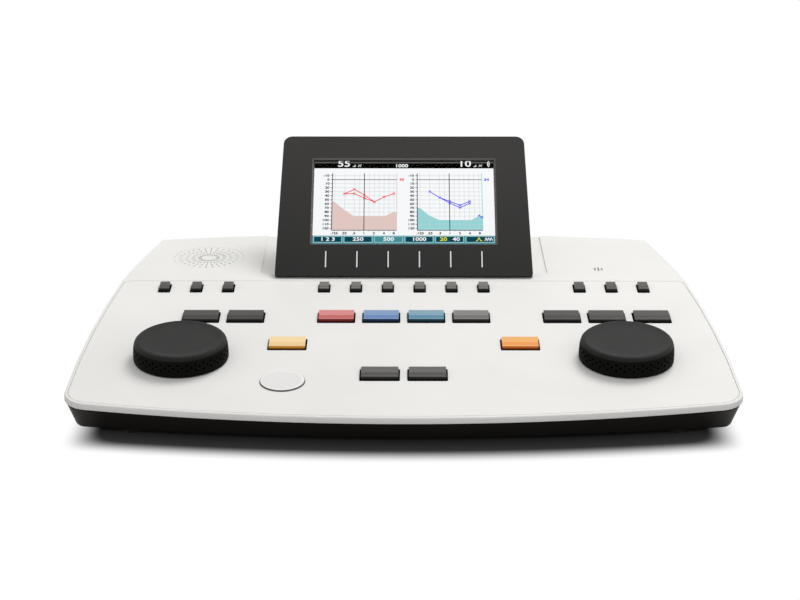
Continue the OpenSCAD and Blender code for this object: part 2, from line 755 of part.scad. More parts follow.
module bottom_case() {
    lip = wall + lip_gap;
    drop = rim_h + seam;
    rings = [
        flat_ring(front_draw + floor_bevel, side_draw + floor_bevel, rear_draw + floor_bevel, foot_h),
        flat_ring(front_draw, side_draw, rear_draw, foot_h + floor_bevel),
        top_ring(seam_inset, drop),
        top_ring(lip, drop),
        top_ring(lip, rim_h - lip_h),
        top_ring(lip + lip_t, rim_h - lip_h),
        flat_ring(front_draw + wall, side_draw + wall, rear_draw + wall, floor_z)];
    count = len(rings);
    color([0.09, 0.09, 0.085])
    difference() {
        union() {
            polyhedron(
                points = [for (r = rings) each r],
                faces = concat(skirt(count), [[for (i = [0:ring_n - 1]) i]],
                               [[for (i = [ring_n - 1:-1:0]) (count - 1) * ring_n + i]]),
                convexity = 6);
            for (b = case_bosses) mirrored() translate([b[0], b[1], foot_h + over])
                cylinder(h = boss_top(b) - foot_h - over, r = boss_r);
            main_posts() cylinder(h = main_z - floor_z + over, r = post_r);
            main_posts() cylinder(h = main_z - floor_z + over + board_t, r = tip_r);
            recess_walls();
        }
        recess_hole();
        boss_spots() translate([0, 0, -screw_seat - over])
            cylinder(h = screw_seat + 2 * over, r = screw_r + tip_gap);
        for (b = case_bosses) mirrored() translate([b[0], b[1], foot_h - over])
            cylinder(h = boss_top(b) - screw_seat - foot_h + over, r = screw_head_r + tip_gap);
        foot_spots() translate([0, 0, foot_h - over]) cylinder(h = foot_seat + over, r = foot_r);
        vent_slots();
    }
}

// Floor vents: two groups of slots under the main board
module vent_slots() {
    middle = main_front + main_d / 2;
    for (side = [-1, 1], i = [0:vent_count - 1]) {
        x = side * vent_x + (i - (vent_count - 1) / 2) * vent_pitch;
        translate([x, middle, foot_h - over]) linear_extrude(wall + 2 * over)
            round_rect(vent_w, vent_l, vent_w / 2 - touch);
    }
}

// Walls of the connector recess, from inside the rear wall to just behind the connector plate
module recess_walls() {
    low = port_back - 2 * port_wall;
    intersection() {
        translate([-port_w / 2 - port_wall, low, port_z - port_wall])
            cube([port_w + 2 * port_wall, case_d, port_h + 2 * port_wall]);
        linear_extrude(crease_z) polygon(ring(front_draw, side_draw, rear_draw + 1));
    }
}
module recess_hole() {
    low = port_back - 2 * port_wall - over;
    translate([-port_w / 2, low, port_z]) cube([port_w, case_d, port_h]);
}

module foot_spots() {
    mirrored() translate(set_in(foot_side, foot_front)) children();
    mirrored() translate(set_in(foot_rear_side, -foot_rear)) children();
}

module main_posts() {
    for (x = [-1, 1], y = [post_inset, main_d - post_inset])
        translate([x * (main_w / 2 - post_inset), main_front + y, floor_z - over]) children();
}

module top_case() {
    near = rim_round * (1 - cos(45));
    outer = [top_ring(rim_round, 0), top_ring(near, near), top_ring(0, rim_round),
             top_ring(0, rim_h - rim_bevel), top_ring(rim_bevel, rim_h)];
    inner = [top_ring(wall, rim_h), top_ring(wall, top_wall)];
    rings = concat(outer, inner);
    count = len(rings);
    first = count * ring_n;
    edges = concat(deck_edge(rings[0], 0), deck_edge(rings[count - 1], top_wall));
    color([0.93, 0.93, 0.92])
    difference() {
        union() {
            polyhedron(
                points = concat([for (r = rings) each r], edges),
                faces = concat(flip(skirt(count)), flip(top_faces(0, first)),
                               top_faces((count - 1) * ring_n, first + len(edges) / 2)),
                convexity = 8);
            for (b = case_bosses) mirrored() translate([b[0], b[1], boss_top(b)])
                cylinder(h = top_z(b) - boss_top(b) - top_wall / 2, r = boss_r);
            on_panel() mirrored() at_keys(key_posts) {
                translate([0, 0, -board_drop]) cylinder(h = board_drop - top_wall / 2, r = post_r);
                translate([0, 0, -board_drop - board_t]) cylinder(h = board_t + over, r = tip_r);
            }
        }
        on_panel() {
            translate([0, 0, -inlay_t]) linear_extrude(inlay_t + over) panel_shape(groove);
            translate([0, 0, -top_wall - over]) linear_extrude(top_wall + over) panel_holes();
        }
        boss_spots() translate([0, 0, -over])
            cylinder(h = screw_l - screw_seat + 2 * over, r = screw_r + tip_gap);
        on_deck() {
            translate([0, 0, -pocket_depth]) linear_extrude(pocket_depth + over) pocket_shape();
            mirrored() translate([hinge_x - slot_half, hinge_row - slot_front, -top_wall - over])
                cube([2 * slot_half, slot_front + slot_rear, top_wall + 2 * over]);
            translate([-speaker_x, speaker_row, 0]) {
                translate([0, 0, -grille_t]) cylinder(h = grille_t + over, r = grille_r + grille_gap);
                translate([0, 0, -top_wall - over])
                    cylinder(h = top_wall + over, r = grille_r - grille_lap);
            }
            translate([mic_x, mic_row, -top_wall - over]) linear_extrude(top_wall + 2 * over) mic_slots();
        }
    }
}
slot_half = knuckle_w / 2 + ear_gap + ear_t + slot_gap / 2;
slot_rear = knuckle_r + slot_gap;
// The raised knuckle leans forward, so its slot reaches further in front of the axis
slot_front = knuckle_r * cos(fold) + (hinge_depth + knuckle_r * sin(fold)) * tan(fold) + slot_gap;

// Three slots over the microphone; the middle one is the longest
module mic_slots() {
    for (i = [-1:1]) translate([i * mic_slot_pitch, 0])
        round_rect(mic_slot_w, mic_slot_l - abs(i) * mic_slot_pitch, mic_slot_w / 2 - touch);
}

// Pocket outline in the deck's frame, open past the tail
module pocket_shape() {
    far = case_d;
    x = pocket_x;
    polygon(rounded([[-x, far], [-x, pocket_row], [x, pocket_row], [x, far]], [0, pocket_r, pocket_r, 0]));
}

// Outline of the inlay in the panel's frame, grown by g
module panel_shape(g) {
    d = panel_margin - g;
    back = crease_y - (inlay_back - g) * cos(panel_tilt);
    half = half_ring(d, d, d);
    side = [for (i = [0:crease_i - 1]) half[i]];
    right = concat(side, [[side_x(back, d), back]]);
    pts = concat(right, [for (i = [len(right) - 1:-1:1]) [-right[i][0], right[i][1]]]);
    rs = [for (i = [0:len(pts) - 1]) (i == len(right) - 1 || i == len(right)) ? inlay_r + g : 0];
    polygon(rounded([for (p = pts) on_panel_plan(p)], rs));
}

module control_panel() {
    color([0.92, 0.92, 0.91])
    on_panel() translate([0, 0, -inlay_t]) linear_extrude(inlay_t)
        difference() { panel_shape(0); panel_holes(); }
}

// Plate under the top wall; its collars are the dark surrounds that the keys move in
module key_frame() {
    half_w = wide_x(1, 3) + wide_w / 2 + flange_w + frame_reach;
    color([0.07, 0.07, 0.07])
    on_panel() {
        translate([0, 0, frame_low]) linear_extrude(frame_t) difference() {
            under_panel() translate([-half_w, -key_board_front])
                square([2 * half_w, key_board_front - frame_back]);
            key_shapes(key_gap);
            tone_and_knob_holes();
            mirrored() at_keys(key_posts) circle(post_r + pass_gap);
        }
        translate([0, 0, frame_low + frame_t]) linear_extrude(-frame_low - frame_t - collar_drop)
            difference() { key_shapes(surround - collar_gap); key_shapes(key_gap); }
    }
}

// --- keys -------------------------------------------------------------------------

// Flange and stem under a key, in the panel's frame at the key's centre
module key_foot(w, l) {
    translate([0, 0, flange_low]) linear_extrude(flange_t)
        round_rect(w + 2 * flange_w, l + 2 * flange_w, key_corner);
    key_stem();
}
module key_stem() {
    translate([0, 0, stem_low]) cylinder(h = flange_low - stem_low + flange_t / 2, r = stem_r);
}

// Cap with a level back, a crease and a front part that falls away to a bevelled edge
module key_cap(w, l, h) {
    low = flange_top - flange_t / 2;
    front = h - cap_fall;
    intersection() {
        rotate([90, 0, 90]) translate([0, 0, -w]) linear_extrude(2 * w)
            polygon([[l / 2, low], [l / 2, h - cap_bevel], [l / 2 - cap_bevel, h], [-cap_crease, h],
                     [-l / 2 + cap_bevel, front], [-l / 2, front - cap_bevel], [-l / 2, low]]);
        translate([0, 0, low]) linear_extrude(h - low) round_rect(w, l, key_corner);
    }
}
module key(x, row, w, l, h) {
    on_panel() translate([x, -row, 0]) {
        key_cap(w, l, h);
        key_foot(w, l);
    }
}
module small_key(x) { color([0.36, 0.35, 0.34]) key(x, small_row, small_w, small_l, small_h); }
module wide_key(x, row) { key(x, row, wide_w, wide_l, wide_h); }
module dark_key(x, row) { color([0.40, 0.39, 0.38]) wide_key(x, row); }

module soft_key_1() { small_key(soft_x(1)); }
module soft_key_2() { small_key(soft_x(2)); }
module soft_key_3() { small_key(soft_x(3)); }
module soft_key_4() { small_key(soft_x(4)); }
module soft_key_5() { small_key(soft_x(5)); }
module soft_key_6() { small_key(soft_x(6)); }
module left_small_key_1() { small_key(small_x(-1, 1)); }
module left_small_key_2() { small_key(small_x(-1, 2)); }
module left_small_key_3() { small_key(small_x(-1, 3)); }
module right_small_key_1() { small_key(small_x(1, 1)); }
module right_small_key_2() { small_key(small_x(1, 2)); }
module right_small_key_3() { small_key(small_x(1, 3)); }
module left_wide_key_1() { dark_key(wide_x(-1, 1), wide_row); }
module left_wide_key_2() { dark_key(wide_x(-1, 2), wide_row); }
module right_wide_key_1() { dark_key(wide_x(1, 1), wide_row); }
module right_wide_key_2() { dark_key(wide_x(1, 2), wide_row); }
module right_wide_key_3() { dark_key(wide_x(1, 3), wide_row); }
module red_key() { color([0.80, 0.47, 0.46]) wide_key(colour_x(1), wide_row); }
module blue_key() { color([0.50, 0.60, 0.76]) wide_key(colour_x(2), wide_row); }
module teal_key() { color([0.48, 0.63, 0.69]) wide_key(colour_x(3), wide_row); }
module grey_key() { color([0.58, 0.57, 0.56]) wide_key(colour_x(4), wide_row); }
module yellow_key() { color([0.97, 0.86, 0.65]) wide_key(-single_x, single_row); }
module orange_key() { color([0.96, 0.65, 0.37]) wide_key(single_x, single_row); }
module down_key() { dark_key(-step_x, step_row); }
module up_key() { dark_key(step_x, step_row); }

module tone_switch() {
    color([0.90, 0.90, 0.89])
    on_panel() at_keys([tone_at]) {
        rotate_extrude() polygon([[0, flange_low], [tone_r + flange_w, flange_low],
            [tone_r + flange_w, flange_top], [tone_r, flange_top], [tone_r, tone_rim],
            [tone_r - tone_bevel, tone_h], [0, tone_h]]);
        key_stem();
    }
}

// --- knobs ------------------------------------------------------------------------

// Knob profile: a shallow dish, a round shoulder and a slightly tapered side
function grip_profile() =
    let (s = knob_shoulder, c = [knob_r - s, knob_h - s])
    concat([[0, knob_h - knob_dish], [dish_r, knob_h - knob_dish]],
           [for (a = [90:-10:0]) polar(c, s, a)],
           [[knob_r, knob_bevel], [knob_r - knob_bevel, 0], [0, 0]]);

module knob_grip(side) {
    color([0.16, 0.16, 0.16])
    knob_at(side) translate([0, 0, knob_gap]) difference() {
        rotate_extrude() polygon(grip_profile());
        translate([0, 0, -over]) cylinder(h = core_h + over, r = core_r);
        for (row = [0:2], i = [0:dimple_count - 1])
            rotate([0, 0, (i + (row == 1 ? 0.5 : 0)) * 360 / dimple_count])
                translate([knob_r - dimple_depth, 0, dimple_z + row * dimple_pitch])
                    rotate([0, 90, 0]) cylinder(h = dimple_depth + over, r = dimple_r, $fn = 16);
    }
}

// Hard core: a rimmed disc with a hub and webs, open below
module knob_core(side) {
    color([0.2, 0.2, 0.2])
    knob_at(side) translate([0, 0, knob_gap]) difference() {
        union() {
            difference() {
                cylinder(h = core_h, r = core_r - touch);
                translate([0, 0, -over]) cylinder(h = core_h - core_t + over, r = core_r - core_t);
            }
            cylinder(h = core_h, r = hub_r);
            for (a = [0:60:300]) rotate([0, 0, a]) translate([hub_r - web_t / 2, -web_t / 2, web_t])
                cube([core_r - core_t - hub_r + web_t, web_t, core_h - core_t]);
        }
        translate([0, 0, -over]) cylinder(h = shaft_in + over, r = shaft_r + touch / 2);
    }
}

module encoder_shaft(side) {
    color([0.7, 0.7, 0.7])
    knob_at(side) translate([0, 0, shaft_seat - board_drop])
        cylinder(h = board_drop - shaft_seat + knob_gap + shaft_in - touch, r = shaft_r);
}

module left_knob_grip() { knob_grip(-1); }
module right_knob_grip() { knob_grip(1); }
module left_knob_core() { knob_core(-1); }
module right_knob_core() { knob_core(1); }
module left_encoder_shaft() { encoder_shaft(-1); }
module right_encoder_shaft() { encoder_shaft(1); }

module encoder_bodies() {
    color([0.55, 0.56, 0.57])
    for (side = [-1, 1]) knob_at(side) difference() {
        union() {
            translate([-encoder_w / 2, -encoder_w / 2, touch - board_drop])
                cube([encoder_w, encoder_w, encoder_h]);
            translate([0, 0, over - board_drop]) cylinder(h = board_drop - bush_drop - over, r = bush_r);
        }
        translate([0, 0, shaft_seat - shaft_end_gap - board_drop])
            cylinder(h = board_drop + over, r = shaft_r + shaft_gap);
    }
}

// --- boards and switches ----------------------------------------------------------

module key_board() {
    color([0.12, 0.36, 0.22])
    on_panel() translate([0, 0, -board_drop - board_t]) linear_extrude(board_t - touch) difference() {
        under_panel() translate([-key_board_w / 2, -key_board_front])
            square([key_board_w, key_board_front - key_board_back]);
        mirrored() at_keys(key_posts) circle(tip_r + tip_gap);
    }
}

// A square housing with a bore for the key's stem
module key_switch(travel) {
    low = stem_low - travel - stem_room;
    difference() {
        translate([-switch_w / 2, -switch_w / 2, -board_drop]) cube([switch_w, switch_w, switch_h]);
        translate([0, 0, low]) cylinder(h = switch_top - low + over, r = stem_r + stem_gap);
    }
}
module key_switches() {
    color([0.15, 0.15, 0.16])
    on_panel() {
        at_keys(concat(small_keys, wide_keys)) key_switch(key_travel);
        at_keys([tone_at]) key_switch(tone_travel);
    }
}

// Parts on the main board: [left end, front end, width, depth] as shares of the board, and height
main_parts = [
    [0.275, 0.47, 0.14, 0.25, transformer_h],
    [-0.07, 0.32, 0.12, 0.25, chip_t],
    [-0.31, 0.36, 0.08, 0.17, chip_t],
    [-0.35, 0.04, 0.23, 0.06, header_h],
    [0.06, 0.04, 0.13, 0.06, header_h]];

module main_board() {
    color([0.12, 0.36, 0.22])
    translate([0, main_front, main_z]) {
        difference() {
            translate([-main_w / 2, 0, touch]) cube([main_w, main_d, board_t - touch]);
            translate([0, -main_front, -main_z]) main_posts() cylinder(h = main_z, r = tip_r + tip_gap);
        }
        for (p = main_parts) translate([p[0] * main_w, p[1] * main_d, board_t / 2])
            cube([p[2] * main_w, p[3] * main_d, board_t / 2 + p[4]]);
    }
}

// --- sound ------------------------------------------------------------------------

module speaker_grille() {
    color([0.90, 0.90, 0.89])
    on_deck() translate([-speaker_x, speaker_row, touch - grille_t]) linear_extrude(grille_t - touch)
        difference() {
            circle(grille_r, $fn = 96);
            for (k = [0:ring_count - 1], i = [0:spoke_count - 1])
                rotate(i * 360 / spoke_count) translate([slot_ring + k * ring_pitch, 0])
                    square([slot_l, slot_w], center = true);
        }
}

// Basket and magnet; the cone is open towards the grille
module loudspeaker() {
    r = grille_r - basket_in;
    d = speaker_depth;
    magnet_r = r * 0.52;
    dome_r = r * 0.3;
    color([0.25, 0.25, 0.26])
    on_deck() translate([-speaker_x, speaker_row, -top_wall - touch]) rotate_extrude()
        polygon([[0, -d], [magnet_r, -d], [magnet_r, -d * 0.6], [r - basket_t, -basket_t], [r, -basket_t],
                 [r, 0], [r - 2 * basket_t, 0], [r - 2.4 * basket_t, -basket_t], [dome_r, -d * 0.45],
                 [0, -d * 0.35]]);
}

module talk_microphone() {
    color([0.6, 0.6, 0.6])
    on_deck() translate([mic_x, mic_row, -top_wall - touch - mic_depth])
        cylinder(h = mic_depth, r = mic_r);
}

// --- feet and fasteners -----------------------------------------------------------

module rubber_feet() {
    color([0.1, 0.1, 0.1])
    foot_spots() rotate_extrude() polygon([[0, 0], [foot_r - foot_bevel, 0], [foot_r, foot_bevel],
        [foot_r, foot_h + foot_seat - touch], [0, foot_h + foot_seat - touch]]);
}

// Screws with a cross recess in the head
module case_screws() {
    recess_l = screw_head_r * 1.1;
    recess_w = recess_l / 5;
    color([0.75, 0.75, 0.76])
    boss_spots() translate([0, 0, -screw_seat]) {
        translate([0, 0, -screw_head_h - touch]) difference() {
            cylinder(h = screw_head_h, r = screw_head_r);
            for (a = [0, 90]) rotate([0, 0, a]) translate([-recess_l / 2, -recess_w / 2, -over])
                cube([recess_l, recess_w, over + screw_head_h / 2]);
        }
        translate([0, 0, -over]) cylinder(h = screw_l + over, r = screw_r);
    }
}

// --- display ----------------------------------------------------------------------

function display_half(v) = (display_w + (display_top_w - display_w) * v / display_h) / 2;
function display_shape(d) =
    let (a = display_half(0) - d, b = display_half(display_h) - d, lo = d, hi = display_h - d,
         rl = max(display_low_r - d, 0.6), rt = max(display_top_r - d, 0.8))
    rounded([[-a, lo], [a, lo], [b, hi], [-b, hi]], [rl, rl, rt, rt], 5);

// Side profile kept clear of the deck: a thin lower lip that thickens along a chamfer
module clear_of_deck() {
    intersection() {
        rotate([90, 0, 90]) translate([0, 0, -display_w]) linear_extrude(2 * display_w)
            polygon([[0, over], [display_h, over], [display_h, -display_t], [chamfer_v, -display_t],
                     [lip_v, -lip_low], [0, 0]]);
        children();
    }
}

// Screw positions, in the display's frame
module display_spots() {
    for (v = [display_screw_low, display_h - display_screw_top])
        mirrored() translate([display_half(v) - display_screw_side, v, 0]) children();
}

module screen_box(lap, low, high) {
    translate([-screen_w / 2 - lap, screen_v - lap, low])
        cube([screen_w + 2 * lap, screen_h + 2 * lap, high - low]);
}

module display_bezel() {
    post_h = bezel_d - display_wall / 4;
    color([0.23, 0.225, 0.22])
    on_display() difference() {
        union() {
            clear_of_deck() difference() {
                translate([0, 0, -bezel_d]) linear_extrude(bezel_d) polygon(display_shape(0));
                translate([0, chamfer_v, -bezel_d - over]) linear_extrude(bezel_d - display_wall + over)
                    intersection() {
                        translate([0, -chamfer_v]) polygon(display_shape(display_wall));
                        translate([-display_w, 0]) square([2 * display_w, display_h]);
                    }
            }
            display_spots() translate([0, 0, -bezel_d]) cylinder(h = post_h, r = display_post_r);
        }
        screen_box(0, -bezel_d, over);
        display_spots() translate([0, 0, -bezel_d - over])
            cylinder(h = post_h, r = display_screw_r + touch);
    }
}

module display_window() {
    color([0.75, 0.8, 0.85, 0.35])
    on_display() screen_box(screen_lap, -display_wall - window_t, -display_wall - touch);
}

module lcd_panel() {
    top = -display_wall - window_t - touch;
    color([0.85, 0.87, 0.9])
    on_display() screen_box(screen_lap, top - lcd_t, top);
}

module display_board() {
    top = -display_wall - window_t - lcd_t - board_gap;
    chip_d = 0.8;
    color([0.12, 0.36, 0.22])
    on_display() {
        screen_box(0, top - display_board_t, top);
        translate([-1.25 * display_chip, screen_v + display_chip, top - display_board_t - chip_d])
            cube([display_chip, display_chip, chip_d + touch]);
    }
}

// Outline of the rear cover's back, from its seam to its rear face: [inset, depth] as shares
cover_steps = [[0, 0], [0.15, 0.45], [0.5, 0.78], [1, 1]];
function cover_layer(s, depth) =
    [for (p = display_shape(s[0] * cover_taper)) [p[0], p[1], -bezel_d - touch - depth * s[1]]];

module cover_body() {
    depth = display_t - bezel_d - touch;
    n = len(display_shape(0));
    layers = len(cover_steps);
    side = [for (k = [0:layers - 2], i = [0:n - 1])
        let (j = (i + 1) % n, a = k * n, b = a + n)
        each [[a + i, a + j, b + i], [a + j, b + j, b + i]]];
    difference() {
        clear_of_deck() polyhedron(
            points = [for (s = cover_steps) each cover_layer(s, depth)],
            faces = concat([[for (i = [n - 1:-1:0]) i]], side,
                           [[for (i = [0:n - 1]) (layers - 1) * n + i]]),
            convexity = 4);
        translate([0, 0, display_wall - display_t]) linear_extrude(depth) intersection() {
            polygon(display_shape(cover_taper + display_wall));
            translate([-display_w, chamfer_v + cover_taper]) square([2 * display_w, display_h]);
        }
    }
}

module display_rear_cover() {
    arm = knuckle_r + 2 * display_wall;
    color([0.90, 0.90, 0.89])
    on_display() difference() {
        union() {
            cover_body();
            display_spots() translate([0, 0, display_wall / 2 - display_t])
                cylinder(h = display_t - display_wall / 2 - bezel_d - touch, r = display_post_r);
            mirrored() translate([hinge_x, hinge_v, -hinge_d]) rotate([0, 90, 0]) {
                translate([0, 0, -knuckle_w / 2]) cylinder(h = knuckle_w, r = knuckle_r);
                translate([-arm, -knuckle_r, -knuckle_w / 2]) cube([arm, 2 * knuckle_r, knuckle_w]);
            }
        }
        display_spots() translate([0, 0, -display_t - over]) {
            cylinder(h = display_t, r = display_screw_r + 3 * tip_gap);
            cylinder(h = over + display_head_drop + display_head_h + touch, r = display_head_r + tip_gap);
        }
        mirrored() translate([hinge_x - knuckle_w / 2 - over, hinge_v, -hinge_d]) rotate([0, 90, 0])
            cylinder(h = knuckle_w + 2 * over, r = pin_r);
    }
}

module display_screws() {
    color([0.75, 0.75, 0.76])
    on_display() display_spots() translate([0, 0, display_head_drop - display_t]) {
        cylinder(h = display_head_h, r = display_head_r);
        cylinder(h = display_t - display_head_drop - display_wall, r = display_screw_r);
    }
}

// --- hinge ------------------------------------------------------------------------

module hinge_pins() {
    reach = knuckle_w / 2 + ear_gap + ear_t;
    color([0.7, 0.7, 0.72])
    on_hinge() mirrored() translate([hinge_x - reach, 0, 0]) rotate([0, 90, 0])
        cylinder(h = 2 * reach, r = pin_r - touch / 5);
}

// Two ears each side of a knuckle, on a foot plate under it, with flanges under the deck
module hinge_brackets() {
    top = hinge_depth - top_wall - touch;
    low = -knuckle_r - foot_gap - bracket_t;
    reach = knuckle_w / 2 + ear_gap;
    outer = reach + ear_t;
    flange = 2 * ear_t;
    color([0.62, 0.63, 0.64])
    on_hinge() mirrored() translate([hinge_x, 0, 0]) difference() {
        union() {
            mirrored() translate([reach, 0, 0]) {
                rotate([0, 90, 0]) cylinder(h = ear_t, r = knuckle_r);
                translate([0, -knuckle_r, low]) cube([ear_t, 2 * knuckle_r, -low]);
                translate([ear_t / 2, -knuckle_r - ear_t, top - bracket_t])
                    cube([flange, 2 * (knuckle_r + ear_t), bracket_t]);
            }
            translate([-outer, -knuckle_r, low]) cube([2 * outer, 2 * knuckle_r, bracket_t]);
        }
        translate([-outer - over, 0, 0]) rotate([0, 90, 0])
            cylinder(h = 2 * (outer + over), r = pin_r + pin_gap);
    }
}

// --- rear connectors --------------------------------------------------------------

module jack_spots() {
    for (i = [0:jack_count - 1])
        translate([jack_x + i * jack_pitch, port_y, port_mid]) rotate([-90, 0, 0]) children();
}
// A box centred on the plate at x, from depth d behind the outer face to p in front of it
module port_box(x, w, h, d, p) {
    translate([x - w / 2, port_y - d, port_mid - h / 2]) cube([w, d + p, h]);
}

module rear_panel() {
    through = port_t + over;
    color([0.13, 0.13, 0.13])
    difference() {
        translate([port_gap - port_w / 2, port_back, port_z + port_gap])
            cube([port_w - 2 * port_gap, port_t, port_h - 2 * port_gap]);
        jack_spots() translate([0, 0, -through]) cylinder(h = through + over, r = barrel_r + port_gap);
        port_box(usb_x, usb_w + 2 * port_gap, usb_h + 2 * port_gap, through, over);
        port_box(inlet_x, inlet_w + 2 * port_gap, usb_h + 2 * port_gap, through, over);
        port_box(power_x, power_w - power_rim, power_h - power_rim, through, over);
    }
}

// Square bodies behind the plate, barrels through it and collars before it
module jack_sockets() {
    low = -jack_l - port_t;
    color([0.1, 0.1, 0.1])
    jack_spots() difference() {
        union() {
            translate([-jack_body / 2, -jack_body / 2, low]) cube([jack_body, jack_body, jack_l - touch]);
            translate([0, 0, -port_t - over]) cylinder(h = port_t + 2 * over, r = barrel_r);
            translate([0, 0, touch]) cylinder(h = collar_t, r = collar_r);
        }
        translate([0, 0, low + over]) cylinder(h = jack_l + port_t + collar_t, r = jack_r);
    }
}

// Shell with a tongue
module usb_socket() {
    tongue_d = usb_d * 0.7;
    color([0.7, 0.7, 0.72]) {
        difference() {
            port_box(usb_x, usb_w, usb_h, usb_d, port_lap);
            port_box(usb_x, usb_w - 2 * usb_t, usb_h - 2 * usb_t, usb_d * 0.65, over);
        }
        port_box(usb_x, usb_w * 0.47, usb_h * 0.24, tongue_d, -usb_t);
    }
}

// Block with a round opening round a pin
module power_inlet() {
    pin_d = inlet_d * 0.7;
    color([0.1, 0.1, 0.1])
    difference() {
        port_box(inlet_x, inlet_w, usb_h, inlet_d, port_lap);
        translate([inlet_x, port_y - pin_d - over, port_mid]) rotate([-90, 0, 0]) difference() {
            cylinder(h = pin_d + 2 * over, r = inlet_r, $fn = 24);
            cylinder(h = pin_d, r = inlet_pin_r, $fn = 24);
        }
    }
}

// Housing behind the plate with a frame before it, open for the rocker
module power_switch_body() {
    color([0.08, 0.08, 0.08])
    difference() {
        union() {
            port_box(power_x, power_w - power_rim - 2 * port_gap, power_h - power_rim - 2 * port_gap,
                     power_d, port_gap);
            port_box(power_x, power_w, power_h, -touch, touch + power_t);
        }
        port_box(power_x, power_w - 2 * power_rim, rocker_h + 2 * rocker_gap,
                 power_d * 0.7, over + power_t);
        rocker_axis() cylinder(h = rocker_pin_l + 4 * port_gap, r = rocker_pin_r + touch, center = true);
    }
}
module rocker_axis() { translate([power_x, port_y - rocker_deep, port_mid]) children(); }
rocker_h = power_h - 2 * power_rim - 4 * rocker_gap;
rocker_pin_l = power_h - power_rim - 4 * port_gap - 2 * rocker_gap;

// Rocker with two faces that meet over its pivot, at rest pressed on the left
module power_rocker() {
    half = power_w / 2 - power_rim - 2 * rocker_gap;
    peak = rocker_deep + power_t + touch;
    color([0.12, 0.12, 0.12])
    rocker_axis() rotate([0, 0, rocker_tilt]) {
        translate([0, 0, -rocker_h / 2]) linear_extrude(rocker_h)
            polygon([[-half, -rocker_deep / 2], [-half, rocker_deep], [0, peak], [half, rocker_deep],
                     [half, -rocker_deep / 2], [0, -peak]]);
        cylinder(h = rocker_pin_l, r = rocker_pin_r, center = true);
    }
}

bottom_case();
top_case();
control_panel();
key_frame();
speaker_grille();
loudspeaker();
main_board();
key_board();
key_switches();
encoder_bodies();
talk_microphone();
rear_panel();
jack_sockets();
usb_socket();
power_inlet();
power_switch_body();
rubber_feet();
case_screws();
hinge_brackets();
power_rocker();
display_bezel();
display_rear_cover();
lcd_panel();
display_window();
display_board();
hinge_pins();
display_screws();
left_knob_grip();
left_knob_core();
left_encoder_shaft();
right_knob_grip();
right_knob_core();
right_encoder_shaft();
soft_key_1();
soft_key_2();
soft_key_3();
soft_key_4();
soft_key_5();
soft_key_6();
left_small_key_1();
left_small_key_2();
left_small_key_3();
right_small_key_1();
right_small_key_2();
right_small_key_3();
left_wide_key_1();
left_wide_key_2();
right_wide_key_1();
right_wide_key_2();
right_wide_key_3();
red_key();
blue_key();
teal_key();
grey_key();
yellow_key();
orange_key();
down_key();
up_key();
tone_switch();
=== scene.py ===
"""Looks of a desktop audiometer, built round its packed construction model.

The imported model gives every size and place. The pieces made here follow its nodes: most start from a
node's own mesh and get soft edges, the knobs' grips and the tone switch are turned anew, and the picture
on the screen is laid out in the display's frame.
"""

import json
import logging
import math
from dataclasses import dataclass, field
from enum import Enum
from typing import Callable, Dict, Iterable, List, Optional, Sequence, Tuple, Union

import bmesh
import bpy
from mathutils import Matrix, Vector

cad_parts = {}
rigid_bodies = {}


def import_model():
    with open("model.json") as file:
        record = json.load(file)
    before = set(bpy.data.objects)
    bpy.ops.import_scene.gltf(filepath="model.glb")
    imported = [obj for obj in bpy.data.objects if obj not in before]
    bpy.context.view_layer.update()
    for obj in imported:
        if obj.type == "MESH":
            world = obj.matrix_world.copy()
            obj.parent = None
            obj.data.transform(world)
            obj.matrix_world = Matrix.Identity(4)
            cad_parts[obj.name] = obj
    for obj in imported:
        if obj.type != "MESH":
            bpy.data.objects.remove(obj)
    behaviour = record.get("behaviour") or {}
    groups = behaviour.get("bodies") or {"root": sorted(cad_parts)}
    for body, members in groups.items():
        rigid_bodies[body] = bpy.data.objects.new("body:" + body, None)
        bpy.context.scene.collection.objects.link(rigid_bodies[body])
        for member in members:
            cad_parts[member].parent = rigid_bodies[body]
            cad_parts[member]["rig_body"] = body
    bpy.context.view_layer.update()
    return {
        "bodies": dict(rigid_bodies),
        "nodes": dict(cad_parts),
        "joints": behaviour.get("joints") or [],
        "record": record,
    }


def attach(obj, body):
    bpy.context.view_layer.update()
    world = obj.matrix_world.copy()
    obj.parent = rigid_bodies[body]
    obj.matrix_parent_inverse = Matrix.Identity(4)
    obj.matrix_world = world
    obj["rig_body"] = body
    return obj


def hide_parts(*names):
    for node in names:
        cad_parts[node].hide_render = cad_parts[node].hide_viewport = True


MM = 0.001
KNOB_X = 124.0 * MM
KEY_PLACE = "cap_place"
WHITE_LIGHT = (1.0, 1.0, 1.0, 1.0)
LOG = logging.getLogger("audiometer")
Colour = Tuple[float, float, float, float]
Point = Tuple[float, float]
Number = Union[float, "Wire"]
EdgeTest = Callable[[bmesh.types.BMEdge], bool]


def paint(red: float, green: float, blue: float) -> Colour:
    """Turns a colour as a screen shows it into the light that a shader works with.

    Args:
        red, green, blue: parts of the shown colour, each from 0 to 255.

    Returns:
        The linear colour, with full cover.
    """
    def linear(part: float) -> float:
        """One part of the colour, from 0 to 1."""
        share = part / 255.0
        return share / 12.92 if share <= 0.04045 else ((share + 0.055) / 1.055) ** 2.4
    return linear(red), linear(green), linear(blue), 1.0


def shade(colour: Colour, factor: float) -> Colour:
    """The same colour with its light multiplied by a factor."""
    return colour[0] * factor, colour[1] * factor, colour[2] * factor, 1.0


# --- shader nodes -----------------------------------------------------------------------------------


